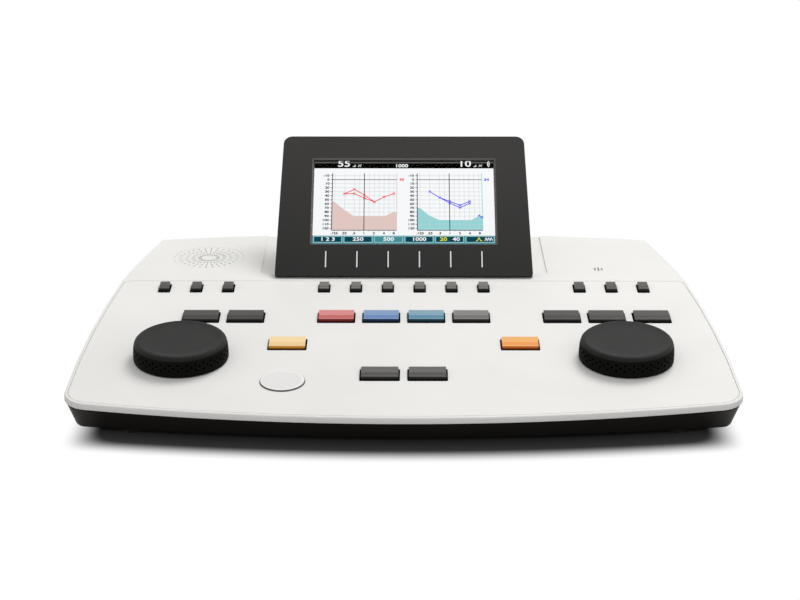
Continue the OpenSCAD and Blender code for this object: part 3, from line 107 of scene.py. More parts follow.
class Wire:
    """One shader output that takes part in plain arithmetic."""

    def __init__(self, sheet: "NodeSheet", socket: bpy.types.NodeSocket) -> None:
        """Keeps the socket and the sheet of nodes that it belongs to."""
        self.sheet = sheet
        self.socket = socket

    def _maths(self, operation: str, first: Number, second: Number) -> "Wire":
        """Adds one Math node and returns its result."""
        return self.sheet.add("ShaderNodeMath", {"operation": operation}, {0: first, 1: second})

    def __add__(self, other: Number) -> "Wire":
        """This value plus another."""
        return self._maths("ADD", self, other)

    def __radd__(self, other: Number) -> "Wire":
        """Another value plus this one."""
        return self._maths("ADD", other, self)

    def __sub__(self, other: Number) -> "Wire":
        """This value less another."""
        return self._maths("SUBTRACT", self, other)

    def __rsub__(self, other: Number) -> "Wire":
        """Another value less this one."""
        return self._maths("SUBTRACT", other, self)

    def __mul__(self, other: Number) -> "Wire":
        """This value times another."""
        return self._maths("MULTIPLY", self, other)

    def __rmul__(self, other: Number) -> "Wire":
        """Another value times this one."""
        return self._maths("MULTIPLY", other, self)

    def rise(self, low: float, high: float, course: str = "LINEAR") -> "Wire":
        """0 where this value is at low, 1 where it is at high, and a steady course between them.

        Args:
            low: the value that gives 0.
            high: the value that gives 1. It may be the smaller one.
            course: LINEAR, or SMOOTHSTEP for soft ends.

        Returns:
            The share, kept between 0 and 1.
        """
        settings = {"clamp": True, "interpolation_type": course}
        return self.sheet.add("ShaderNodeMapRange", settings, {0: self, 1: low, 2: high})


class NodeSheet:
    """The node tree of one material or of the surroundings."""

    def __init__(self, owner: Union[bpy.types.Material, bpy.types.World]) -> None:
        """Empties the owner's tree."""
        self.owner = owner
        owner.use_nodes = True
        self.tree = owner.node_tree
        self.tree.nodes.clear()

    @classmethod
    def named(cls, title: str) -> "NodeSheet":
        """Starts a new material."""
        return cls(bpy.data.materials.new(title))

    def add(self, kind: str, settings: Optional[dict] = None, inputs: Optional[dict] = None,
            output: Union[int, str, None] = 0) -> Optional[Wire]:
        """Adds one node.

        Args:
            kind: the node's type.
            settings: its own settings, set first. The name stops fills a colour ramp.
            inputs: values or wires of its input sockets, by name or number.
            output: the output socket to return, or None for a node that has none.

        Returns:
            The chosen output.
        """
        node = self.tree.nodes.new(kind)
        for name, value in (settings or {}).items():
            if name == "stops":
                for index, (position, colour) in enumerate(value):
                    elements = node.color_ramp.elements
                    element = elements[index] if index < len(elements) else elements.new(position)
                    element.position, element.color = position, colour
            else:
                setattr(node, name, value)
        for key, value in (inputs or {}).items():
            if isinstance(value, Wire):
                self.tree.links.new(value.socket, node.inputs[key])
            else:
                node.inputs[key].default_value = value
        return None if output is None else Wire(self, node.outputs[output])

    def place(self) -> Wire:
        """Object coordinates, in metres."""
        return self.add("ShaderNodeTexCoord", output="Object")

    def part(self, vector: Wire, axis: str) -> Wire:
        """One coordinate of a vector: X, Y or Z."""
        return self.add("ShaderNodeSeparateXYZ", {}, {"Vector": vector}, axis)

    def noise(self, size: float, detail: float = 2.0, stretch: Sequence[float] = (1.0, 1.0, 1.0)) -> Wire:
        """Smooth noise whose features are about size across.

        Args:
            size: the width of one feature, in metres.
            detail: how many finer layers it has.
            stretch: multiplies the pattern's frequency along each axis.

        Returns:
            A value near 0.5.
        """
        spot = self.place()
        if tuple(stretch) != (1.0, 1.0, 1.0):
            spot = self.add("ShaderNodeMapping", {}, {"Vector": spot, "Scale": stretch})
        return self.add("ShaderNodeTexNoise", {}, {"Vector": spot, "Scale": 1.0 / size, "Detail": detail})

    def blend(self, share: Number, first: Union[Colour, Wire], second: Union[Colour, Wire]) -> Wire:
        """Mixes two colours: the first where share is 0, the second where it is 1."""
        return self.add("ShaderNodeMix", {"data_type": "RGBA"}, {0: share, 6: first, 7: second}, 2)

    def relief(self, height: Wire, depth: float, strength: float = 1.0) -> Wire:
        """Surface normals that rise and fall with height by depth metres."""
        return self.add("ShaderNodeBump", {}, {"Height": height, "Distance": depth, "Strength": strength})

    def finish(self, base: Union[Colour, Wire], roughness: Number, normal: Optional[Wire] = None,
               **constants: Union[float, Colour]) -> bpy.types.Material:
        """Ends the sheet with one principled surface.

        Args:
            base: its colour.
            roughness: its roughness.
            normal: its bump, if it has any.
            constants: other sockets by name, with underscores for spaces.

        Returns:
            The finished material.
        """
        inputs = {"Base Color": base, "Roughness": roughness}
        inputs.update({name.replace("_", " "): value for name, value in constants.items()})
        if normal is not None:
            inputs["Normal"] = normal
        surface = self.add("ShaderNodeBsdfPrincipled", {}, inputs, "BSDF")
        self.add("ShaderNodeOutputMaterial", {}, {"Surface": surface}, None)
        return self.owner


# --- finishes ---------------------------------------------------------------------------------------


@dataclass(frozen=True)
class GrainedPlastic:
    """Moulded plastic, bare or painted, with a fine grain from the mould."""

    colour: Colour
    roughness: float = 0.45
    specular: float = 0.5
    grain: float = 0.45 * MM
    grain_depth: float = 0.012 * MM
    cloudiness: float = 0.025

    def mix(self, title: str) -> bpy.types.Material:
        """Builds the material: faint clouds in the colour, and a grain that bumps and dulls the surface."""
        sheet = NodeSheet.named(title)
        clouds = sheet.noise(60 * MM, 3.0)
        grain = sheet.noise(self.grain, 3.0)
        base = sheet.blend(clouds.rise(0.3, 0.7), shade(self.colour, 1 - self.cloudiness),
                           shade(self.colour, 1 + self.cloudiness))
        roughness = self.roughness + (grain - 0.5) * 0.16
        normal = sheet.relief(grain, self.grain_depth)
        return sheet.finish(self.add_painted_shade(sheet, base), roughness, normal, Specular_IOR_Level=self.specular)

    def add_painted_shade(self, sheet: NodeSheet, base: Wire) -> Wire:
        """Leaves the colour as it is. A subclass may paint shade into it."""
        return base


@dataclass(frozen=True)
class GradedPlastic(GrainedPlastic):
    """Grained plastic that gets darker towards its foot, as painted shade."""

    foot: Colour = paint(20, 20, 20)
    low: float = 0.0
    high: float = 1.0

    def add_painted_shade(self, sheet: NodeSheet, base: Wire) -> Wire:
        """Blends the foot's colour in below: painted shade."""
        level = sheet.part(sheet.place(), "Z")
        return sheet.blend(level.rise(self.low, self.high), self.foot, base)


@dataclass(frozen=True)
class KeyResin:
    """Resin of a key cap in its own tint, with painted light: painted shade on the top in front of the crease
    and down the walls, a painted highlight behind the brow, and near black at the foot.
    """

    # back is the top's lit colour, front the same top in painted shade, and the wall colour is the walls'
    # painted shade.
    back: Colour
    front: Colour
    shaded_wall: Colour
    height: float
    brow: float
    crease: float = -1.0 * MM
    crease_half: float = 0.12 * MM
    highlight_back: float = 0.8 * MM
    highlight_front: float = 0.35 * MM
    side_from: float = 0.75 * MM
    side_full: float = 1.3 * MM
    foot_from: float = 0.7 * MM
    foot_full: float = 1.9 * MM
    roughness: float = 0.42
    # Near black towards the foot: a black skirt, together with painted shade in the gap round the key.
    foot: Colour = paint(9, 7, 7)

    def mix(self, title: str) -> bpy.types.Material:
        """Builds the material on the cap's own coordinates, which each key carries as an attribute."""
        sheet = NodeSheet.named(title)
        local = sheet.add("ShaderNodeAttribute", {"attribute_name": KEY_PLACE}, {}, "Vector")
        behind, level = sheet.part(local, "Y"), sheet.part(local, "Z")
        # Painted shade: the top is deeper in front of the crease.
        front_shade = behind.rise(self.crease + self.crease_half, self.crease - self.crease_half)
        top = sheet.blend(front_shade, self.back, self.front)
        # Painted highlight: a lighter band just behind the brow, where the edge catches the light.
        lip = behind.rise(self.brow + self.highlight_back, self.brow + self.highlight_front)
        highlight_colour = tuple(max(part, min(part * 1.7, 0.85)) for part in self.back[:3])
        top = sheet.blend(lip * 0.6, top, (*highlight_colour, 1.0))
        # Painted shade: the walls and the face below the brow take the shaded wall colour.
        sides = level.rise(self.height - self.side_from, self.height - self.side_full)
        face = behind.rise(self.brow + 0.1 * MM, self.brow - 0.1 * MM)
        body = sheet.blend((sides + face).rise(0.0, 1.0), top, self.shaded_wall)
        # Darker towards the foot: a black skirt, and painted shade in the gap round the key.
        skirt_and_shade = level.rise(self.height - self.foot_from, self.height - self.foot_full)
        base = sheet.blend(skirt_and_shade * 0.95, body, self.foot)
        grain = sheet.noise(0.3 * MM, 2.0)
        return sheet.finish(base, self.roughness + (grain - 0.5) * 0.2,
                            sheet.relief(grain, 0.006 * MM), Specular_IOR_Level=0.12)


@dataclass(frozen=True)
class SoftRubber:
    """Matt rubber that looks greyer where light grazes it."""

    colour: Colour
    sheen: float = 0.2
    gloss: float = 0.2
    roughness: float = 0.72

    def mix(self, title: str) -> bpy.types.Material:
        """Builds the material: a soft bloom in patches over a dark, finely pitted body."""
        sheet = NodeSheet.named(title)
        bloom = sheet.noise(9 * MM, 4.0)
        pits = sheet.noise(0.5 * MM, 3.0)
        base = sheet.blend(bloom.rise(0.35, 0.7), shade(self.colour, 0.85), shade(self.colour, 1.25))
        return sheet.finish(base, self.roughness + (pits - 0.5) * 0.2, sheet.relief(pits, 0.02 * MM),
                            Specular_IOR_Level=self.gloss, Sheen_Weight=self.sheen, Sheen_Roughness=0.45,
                            Sheen_Tint=paint(190, 188, 186))


@dataclass(frozen=True)
class PlatedMetal:
    """Plated or pressed metal with fine drawn lines."""

    colour: Colour
    roughness: float = 0.32

    def mix(self, title: str) -> bpy.types.Material:
        """Builds the material: streaks along one axis vary its gloss, and small stains its colour."""
        sheet = NodeSheet.named(title)
        streaks = sheet.noise(0.4 * MM, 3.0, (1.0, 0.06, 1.0))
        stains = sheet.noise(6 * MM, 3.0)
        base = sheet.blend(stains.rise(0.4, 0.75), self.colour, shade(self.colour, 0.82))
        return sheet.finish(base, self.roughness + (streaks - 0.5) * 0.3,
                            sheet.relief(streaks, 0.004 * MM), Metallic=1.0)


@dataclass(frozen=True)
class CoatedBoard:
    """Circuit board: green lacquer over a mesh of tracks, with tinned pads."""

    lacquer: Colour
    track: Colour
    pad: Colour

    def mix(self, title: str) -> bpy.types.Material:
        """Builds the material from a brick pattern for the tracks and cells for the pads."""
        sheet = NodeSheet.named(title)
        lines = sheet.add("ShaderNodeTexBrick", {"offset": 0.37},
                          {"Vector": sheet.place(), "Scale": 1.0, "Mortar Size": 0.35 * MM,
                           "Brick Width": 9 * MM, "Row Height": 2.5 * MM}, "Fac")
        cells = sheet.add("ShaderNodeTexVoronoi", {}, {"Vector": sheet.place(), "Scale": 300.0}, "Distance")
        base = sheet.blend(lines, self.lacquer, self.track)
        pads = cells.rise(0.2, 0.16)
        base = sheet.blend(pads, base, self.pad)
        return sheet.finish(base, 0.3 + pads * 0.1, sheet.relief(lines, 0.03 * MM), Coat_Weight=0.3)


@dataclass(frozen=True)
class WovenCloth:
    """Open cloth behind the grille."""

    colour: Colour
    thread: float = 0.5 * MM

    def mix(self, title: str) -> bpy.types.Material:
        """Builds the material from two crossed sets of threads."""
        sheet = NodeSheet.named(title)
        sets = [sheet.add("ShaderNodeTexWave", {"bands_direction": axis},
                          {"Vector": sheet.place(), "Scale": 0.314 / self.thread, "Distortion": 0.6}, "Fac")
                for axis in ("X", "Y")]
        weave = sets[0] * 0.5 + sets[1] * 0.5
        base = sheet.blend(weave, shade(self.colour, 0.35), self.colour)
        return sheet.finish(base, 0.85 + weave * 0.1, sheet.relief(weave, 0.1 * MM))


@dataclass(frozen=True)
class ClearPane:
    """Hard-coated pane over the screen."""

    def mix(self, title: str) -> bpy.types.Material:
        """Builds a clear surface with a trace of wipe marks in its gloss."""
        sheet = NodeSheet.named(title)
        wipes = sheet.noise(14 * MM, 4.0, (1.0, 0.3, 1.0))
        return sheet.finish(paint(252, 253, 254), 0.03 + wipes.rise(0.45, 0.8) * 0.05,
                            Transmission_Weight=1.0, IOR=1.08)


@dataclass(frozen=True)
class LitInk:
    """One colour of the lit picture."""

    colour: Colour
    strength: float = 0.9
    cell: float = 0.2 * MM

    def mix(self, title: str) -> bpy.types.Material:
        """Builds a glowing surface that fades a little in broad patches and between its cells."""
        sheet = NodeSheet.named(title)
        glow = sheet.noise(70 * MM, 1.0)
        cells = sheet.add("ShaderNodeTexChecker", {},
                          {"Vector": sheet.place(), "Scale": 1.0 / self.cell}, "Fac")
        light = sheet.blend(glow.rise(0.25, 0.75) * 0.7 + cells * 0.3, shade(self.colour, 0.94), self.colour)
        return sheet.finish(paint(1, 1, 1), 0.5, Specular_IOR_Level=0.0, Emission_Color=light,
                            Emission_Strength=self.strength)


@dataclass(frozen=True)
class PrintedMark:
    """Screen-printed ink with slightly uneven cover."""

    colour: Colour

    def mix(self, title: str) -> bpy.types.Material:
        """Builds the material: the cover varies a little along a mark."""
        sheet = NodeSheet.named(title)
        cover = sheet.noise(0.8 * MM, 3.0)
        base = sheet.blend(cover.rise(0.3, 0.7), shade(self.colour, 0.93), self.colour)
        return sheet.finish(base, 0.5 + (cover - 0.5) * 0.2)


Recipe = Union[GrainedPlastic, KeyResin, SoftRubber, PlatedMetal, CoatedBoard, WovenCloth, ClearPane,
               LitInk, PrintedMark]


def small_resin(back: Colour, front: Colour, shaded_wall: Colour) -> KeyResin:
    """Resin of a small key, 2.3 mm high, whose brow lies 4.1 mm in front of its middle."""
    return KeyResin(back, front, shaded_wall, 2.3 * MM, -4.1 * MM)


def wide_resin(back: Colour, front: Colour, shaded_wall: Colour) -> KeyResin:
    """Resin of a wide key, 2.1 mm high, whose brow lies 5.1 mm in front of its middle."""
    return KeyResin(back, front, shaded_wall, 2.1 * MM, -5.1 * MM)


class Finish(Enum):
    """Every finish on the object: the record's material slot that it belongs to, and its recipe."""

    WHITE_SHELL = ("white_shell", GrainedPlastic(paint(236, 235, 232), 0.5, 0.2))
    WHITE_INLAY = ("white_inlay", GrainedPlastic(paint(237, 236, 233), 0.55, 0.2, grain=0.3 * MM))
    BLACK_SHELL = ("black_shell", GrainedPlastic(paint(35, 33, 29), 0.5, 0.12, 0.6 * MM, 0.02 * MM, 0.08))
    BLACK_FRAME = ("black_frame", GrainedPlastic(paint(3, 3, 3), 0.6, 0.0))
    # The bezel's darker foot is painted shade, where less reflected light falls on its face.
    DARK_BEZEL = ("dark_bezel", GradedPlastic(paint(49, 47, 46), 0.55, 0.2, 0.35 * MM, 0.01 * MM, 0.05,
                                              paint(30, 29, 28), 46 * MM, 104 * MM))
    WINDOW = ("window", ClearPane())
    SCREEN_BODY = ("screen", GrainedPlastic(paint(28, 29, 31), 0.4, 0.3))
    # Painted highlight: a grey strip round the picture for the light on the opening's edge.
    SCREEN_EDGE_HIGHLIGHT = ("screen", GrainedPlastic(paint(126, 120, 117), 0.4, 0.3))
    CIRCUIT_BOARD = ("circuit_board", CoatedBoard(paint(24, 84, 52), paint(46, 122, 78),
                                                  paint(200, 196, 180)))
    SWITCH_PLASTIC = ("switch_plastic", GrainedPlastic(paint(38, 38, 40), 0.5))
    SPEAKER_BASKET = ("speaker_basket", GrainedPlastic(paint(52, 52, 54), 0.6))
    SPEAKER_CLOTH = ("speaker_basket", WovenCloth(paint(96, 95, 93)))
    ZINC = ("zinc", PlatedMetal(paint(178, 180, 184), 0.38))
    PLATED_STEEL = ("plated_steel", PlatedMetal(paint(205, 205, 208), 0.28))
    FOOT_RUBBER = ("foot_rubber", SoftRubber(paint(20, 20, 19)))
    KNOB_RUBBER = ("knob_rubber", SoftRubber(paint(22, 21, 20), 0.16))
    # Painted shade: the dimples' hollows in near-black rubber.
    KNOB_DIMPLE_SHADE = ("knob_rubber", GrainedPlastic(paint(1, 1, 1), 0.9, 0.0))
    # Painted shade: the knob's side in a darker copy of its rubber.
    KNOB_SIDE_SHADE = ("knob_rubber", SoftRubber(paint(12, 12, 10), 0.02, 0.06))
    # Key colours: the lit back of the top, its front in painted shade, and the walls in painted shade.
    SMALL_KEY = ("small_key", small_resin(paint(86, 83, 80), paint(76, 74, 71), paint(22, 21, 20)))
    SOFT_KEY = ("small_key", small_resin(paint(122, 119, 116), paint(106, 104, 101), paint(24, 23, 22)))
    DARK_KEY = ("dark_key", wide_resin(paint(76, 74, 71), paint(60, 58, 56), paint(16, 15, 14)))
    STEP_KEY = ("dark_key", wide_resin(paint(101, 97, 94), paint(76, 74, 72), paint(20, 19, 16)))
    RED_KEY = ("red_key", wide_resin(paint(216, 139, 136), paint(196, 102, 100), paint(112, 28, 20)))
    BLUE_KEY = ("blue_key", wide_resin(paint(130, 158, 192), paint(104, 134, 182), paint(8, 38, 78)))
    TEAL_KEY = ("teal_key", wide_resin(paint(131, 167, 182), paint(90, 138, 162), paint(10, 52, 66)))
    GREY_KEY = ("grey_key", wide_resin(paint(134, 131, 129), paint(110, 107, 105), paint(32, 30, 28)))
    YELLOW_KEY = ("yellow_key", wide_resin(paint(249, 221, 168), paint(240, 208, 150), paint(206, 138, 40)))
    ORANGE_KEY = ("orange_key", wide_resin(paint(244, 180, 108), paint(240, 158, 84), paint(196, 96, 20)))
    TONE_SWITCH = ("tone_switch", GrainedPlastic(paint(231, 230, 228), 0.5, 0.3, 1.2 * MM, 0.16 * MM, 0.02))
    # Painted highlight on the switch's bevel, and painted shade on its wall below the rim.
    TONE_BEVEL_HIGHLIGHT = ("tone_switch", GrainedPlastic(paint(240, 239, 236), 0.5, 0.2))
    TONE_WALL_SHADE = ("tone_switch", GrainedPlastic(paint(108, 104, 100), 0.5, 0.2))
    # Painted highlight: the opening's chamfer in a light grey copy of the bezel.
    BEZEL_LIP_HIGHLIGHT = ("dark_bezel", GrainedPlastic(paint(104, 99, 96), 0.5, 0.3))
    PRINTED_WHITE = ("white_inlay", PrintedMark(paint(234, 234, 232)))
    LIT_WHITE = ("screen", LitInk(paint(252, 253, 254), 1.0))
    LIT_BLACK = ("screen", LitInk(paint(1, 1, 0)))
    LIT_DARK_GREY = ("screen", LitInk(paint(96, 93, 91)))
    LIT_GRID = ("screen", LitInk(paint(214, 219, 217)))
    LIT_AXIS = ("screen", LitInk(paint(44, 42, 42)))
    LIT_PINK = ("screen", LitInk(paint(238, 206, 200), 0.96))
    LIT_RED = ("screen", LitInk(paint(252, 70, 88), 0.96))
    LIT_AQUA = ("screen", LitInk(paint(154, 220, 221), 0.96))
    LIT_BLUE = ("screen", LitInk(paint(78, 76, 246), 0.96))
    LIT_TEAL = ("screen", LitInk(paint(70, 148, 154), 0.96))
    LIT_PALE_TEAL = ("screen", LitInk(paint(168, 212, 216), 0.96))
    LIT_DEEP_TEAL = ("screen", LitInk(paint(8, 72, 88)))
    LIT_YELLOW = ("screen", LitInk(paint(240, 240, 40), 0.96))

    def __init__(self, slot: str, recipe: Recipe) -> None:
        """Keeps the slot and the recipe."""
        self.slot = slot
        self.recipe = recipe

    @property
    def title(self) -> str:
        """The finish's own name."""
        return self.name.lower()


# --- working frames ---------------------------------------------------------------------------------


@dataclass(frozen=True)
class Layout:
    """Frames in which the object is laid out, in metres and degrees."""

    crease_y: float = 32.6 * MM
    crease_z: float = 39.6 * MM
    panel_tilt: float = 7.2
    deck_tilt: float = 2.9
    display_lean: float = 42.1
    hinge_row: float = 18.9 * MM
    hinge_depth: float = 2.86 * MM
    hinge_v: float = 10 * MM
    hinge_back: float = 14 * MM

    def _tilted(self, degrees: float) -> Matrix:
        """A frame on the crease, tilted about the x axis."""
        start = Matrix.Translation((0.0, self.crease_y, self.crease_z))
        return start @ Matrix.Rotation(math.radians(degrees), 4, "X")

    @property
    def panel(self) -> Matrix:
        """x, distance behind the crease, height above the control panel."""
        return self._tilted(self.panel_tilt)

    @property
    def deck(self) -> Matrix:
        """x, distance behind the crease, height above the rear deck."""
        return self._tilted(self.deck_tilt)

    @property
    def display(self) -> Matrix:
        """x, height above the display's lower edge, height above its face."""
        axis = self.deck @ Matrix.Translation((0.0, self.hinge_row, -self.hinge_depth))
        raised = axis @ Matrix.Rotation(math.radians(self.display_lean - self.deck_tilt), 4, "X")
        return raised @ Matrix.Translation((0.0, -self.hinge_v, self.hinge_back))


# --- shaping and handing over -----------------------------------------------------------------------


class Blank:
    """A mesh on its way to becoming one piece."""

    def __init__(self) -> None:
        """Starts empty."""
        self.bm = bmesh.new()

    @classmethod
    def from_node(cls, node: bpy.types.Object) -> "Blank":
        """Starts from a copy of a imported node, with its loose triangles joined into flat faces."""
        blank = cls()
        blank.bm.from_mesh(node.data)
        bmesh.ops.remove_doubles(blank.bm, verts=blank.bm.verts, dist=1e-6)
        bmesh.ops.dissolve_limit(blank.bm, angle_limit=math.radians(0.4), verts=blank.bm.verts,
                                 edges=blank.bm.edges)
        return blank

    def round_edges(self, width: float, least: float, chosen: EdgeTest, segments: int = 2) -> "Blank":
        """Rounds the outer edges that a test picks.

        Args:
            width: how far the rounding reaches into the faces.
            least: the smallest angle between the faces, in degrees.
            chosen: the test.
            segments: steps of the rounding.

        Returns:
            The blank itself.
        """
        limit = math.radians(least)
        outer = [edge for edge in self.bm.edges
                 if edge.is_manifold and edge.is_convex and edge.calc_face_angle(0.0) > limit]
        bmesh.ops.bevel(self.bm, geom=[edge for edge in outer if chosen(edge)], offset=width,
                        segments=segments, profile=0.5, affect="EDGES", material=-1, clamp_overlap=True)
        return self

    def block(self, low: Sequence[float], high: Sequence[float], place: Matrix) -> List[bmesh.types.BMVert]:
        """Adds a closed block between two corners given in a working frame."""
        low_v, high_v = Vector(low), Vector(high)
        size = high_v - low_v
        matrix = place @ Matrix.Translation((low_v + high_v) / 2) @ Matrix.Diagonal((*size, 1.0))
        return bmesh.ops.create_cube(self.bm, size=1.0, matrix=matrix)["verts"]

    def turn(self, profile: Sequence[Point], steps: int, place: Matrix) -> "Blank":
        """Turns a profile of (radius, height) points about a frame's z axis.

        Args:
            profile: points from the axis round to the axis again, or a closed loop.
            steps: facets of the full turn.
            place: the frame.

        Returns:
            The blank itself.
        """
        verts = [self.bm.verts.new((radius, 0.0, height)) for radius, height in profile]
        edges = [self.bm.edges.new(pair) for pair in zip(verts, verts[1:])]
        if profile[0][0] > 0.0:
            edges.append(self.bm.edges.new((verts[-1], verts[0])))
        bmesh.ops.spin(self.bm, geom=verts + edges, cent=(0, 0, 0), axis=(0, 0, 1), angle=math.tau,
                       steps=steps, use_merge=True, use_duplicate=False)
        bmesh.ops.remove_doubles(self.bm, verts=self.bm.verts, dist=1e-7)
        bmesh.ops.recalc_face_normals(self.bm, faces=self.bm.faces)
        bmesh.ops.transform(self.bm, matrix=place, verts=self.bm.verts)
        return self

    def letter(self, text: str, height: float, thickness: float, place: Matrix, weight: float = 0.0) -> None:
        """Adds plain figures, centred on a frame's origin.

        Args:
            text: digits or a sign.
            height: the height of a digit.
            thickness: how far the figures stand up.
            place: the frame that they lie in.
            weight: how much wider every stroke gets on each side.
        """
        curve = bpy.data.curves.new("figures", "FONT")
        curve.body = text
        curve.size = height / 0.73
        curve.extrude = thickness / 2
        curve.offset = weight
        curve.align_x, curve.align_y = "CENTER", "CENTER"
        curve.resolution_u = 3
        holder = bpy.data.objects.new("figures", curve)
        bpy.context.scene.collection.objects.link(holder)
        bpy.context.view_layer.update()
        mesh = bpy.data.meshes.new_from_object(holder.evaluated_get(bpy.context.evaluated_depsgraph_get()))
        mesh.transform(place)
        self.bm.from_mesh(mesh)
        bpy.data.objects.remove(holder)
        bpy.data.curves.remove(curve)
        bpy.data.meshes.remove(mesh)


@dataclass
class Workshop:
    """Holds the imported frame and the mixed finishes, and hands over finished pieces."""

    frame: dict
    layout: Layout = field(default_factory=Layout)
    mixed: Dict[Finish, bpy.types.Material] = field(default_factory=dict)

    def material(self, finish: Finish) -> bpy.types.Material:
        """The material of a finish, mixed once."""
        if finish not in self.mixed:
            self.mixed[finish] = finish.recipe.mix(finish.title)
        return self.mixed[finish]

    def body_of(self, node: str) -> str:
        """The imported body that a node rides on."""
        return self.frame["nodes"][node]["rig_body"]

    def blank(self, node: str) -> Blank:
        """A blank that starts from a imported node."""
        return Blank.from_node(self.frame["nodes"][node])

    def paint_nodes(self, finish: Finish, *names: str) -> None:
        """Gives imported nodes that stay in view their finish."""
        for name in names:
            node = self.frame["nodes"][name]
            if not node.material_slots:
                node.data.materials.append(None)
            for slot in node.material_slots:
                slot.material = self.material(finish)
            LOG.info("node %s: %s", name, finish.title)

    def hand_over(self, blank: Blank, name: str, body: str, finishes: Sequence[Finish],
                  stands_for: Iterable[str] = (), crease: float = 38.0) -> bpy.types.Object:
        """Turns a blank into a piece that rides on a body.

        Args:
            blank: the finished mesh.
            name: the piece's name.
            body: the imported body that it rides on.
            finishes: its finishes, in the order of its faces' material numbers.
            stands_for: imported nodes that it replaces.
            crease: edges with a larger angle than this stay sharp, in degrees.

        Returns:
            The piece.
        """
        for face in blank.bm.faces:
            face.smooth = True
        for edge in blank.bm.edges:
            edge.smooth = edge.is_manifold and edge.calc_face_angle(0.0) < math.radians(crease)
        mesh = bpy.data.meshes.new(name)
        blank.bm.to_mesh(mesh)
        blank.bm.free()
        for finish in finishes:
            mesh.materials.append(self.material(finish))
        piece = bpy.data.objects.new(name, mesh)
        bpy.context.scene.collection.objects.link(piece)
        even = piece.modifiers.new("even_shading", "WEIGHTED_NORMAL")
        even.keep_sharp = True
        even.weight = 100
        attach(piece, body)
        if stands_for:
            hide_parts(*stands_for)
        LOG.info("piece %s on %s: %d faces", name, body, len(mesh.polygons))
        return piece

    def soften_node(self, node: str, finish: Finish, width: float, least: float = 60.0,
                    chosen: EdgeTest = lambda edge: True) -> bpy.types.Object:
        """Replaces a node by the same form with soft outer edges.

        Args:
            node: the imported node.
            finish: the piece's finish.
            width: how far the rounding reaches into the faces.
            least: the smallest angle that is rounded, in degrees.
            chosen: a test that picks the edges.

        Returns:
            The piece.
        """
        blank = self.blank(node).round_edges(width, least, chosen)
        return self.hand_over(blank, f"soft_{node}", self.body_of(node), [finish], [node])


def lies_on(plane: Matrix, slack: float = 0.02 * MM) -> EdgeTest:
    """A test for edges that lie in a plane.

    Args:
        plane: a working frame, whose x and y axes span the plane.
        slack: how far off an edge may be.

    Returns:
        The test.
    """
    inverse = plane.inverted()
    return lambda edge: all(abs((inverse @ vert.co).z) < slack for vert in edge.verts)


# --- sub-assemblies ---------------------------------------------------------------------------------


@dataclass
class CaseShells:
    """The two shells, the feet and the screws."""

    shop: Workshop
    edge: float = 0.3 * MM
    foot_edge: float = 0.25 * MM
    underside: float = 3.4 * MM

    def build(self) -> None:
        """Makes and dresses the shells, feet and screws."""
        self._top()
        self.shop.soften_node("bottom_case", Finish.BLACK_SHELL, self.edge, 50.0, self._outside)
        self.shop.soften_node("rubber_feet", Finish.FOOT_RUBBER, self.foot_edge, 40.0)
        self.shop.paint_nodes(Finish.PLATED_STEEL, "case_screws")

    def _top(self) -> None:
        """Softens every edge that lies in the panel's or the deck's surface."""
        blank = self.shop.blank("top_case")
        layout = self.shop.layout
        on_deck = lies_on(layout.deck)
        on_panel = lies_on(layout.panel)
        blank.round_edges(self.edge, 60.0, lambda edge: on_deck(edge) or on_panel(edge))
        self.shop.hand_over(blank, "soft_top_case", "case", [Finish.WHITE_SHELL], ["top_case"], 50.0)

    def _outside(self, edge: bmesh.types.BMEdge) -> bool:
        """True for the lower shell's edges near the table."""
        return all(vert.co.z < self.underside for vert in edge.verts)


@dataclass
class ControlPanel:
    """The inlay and the frame whose collars surround the keys."""

    shop: Workshop
    edge: float = 0.15 * MM

    def build(self) -> None:
        """Makes the inlay and dresses the frame."""
        on_panel = lies_on(self.shop.layout.panel)
        self.shop.soften_node("control_panel", Finish.WHITE_INLAY, self.edge, 60.0, on_panel)
        self.shop.paint_nodes(Finish.BLACK_FRAME, "key_frame")


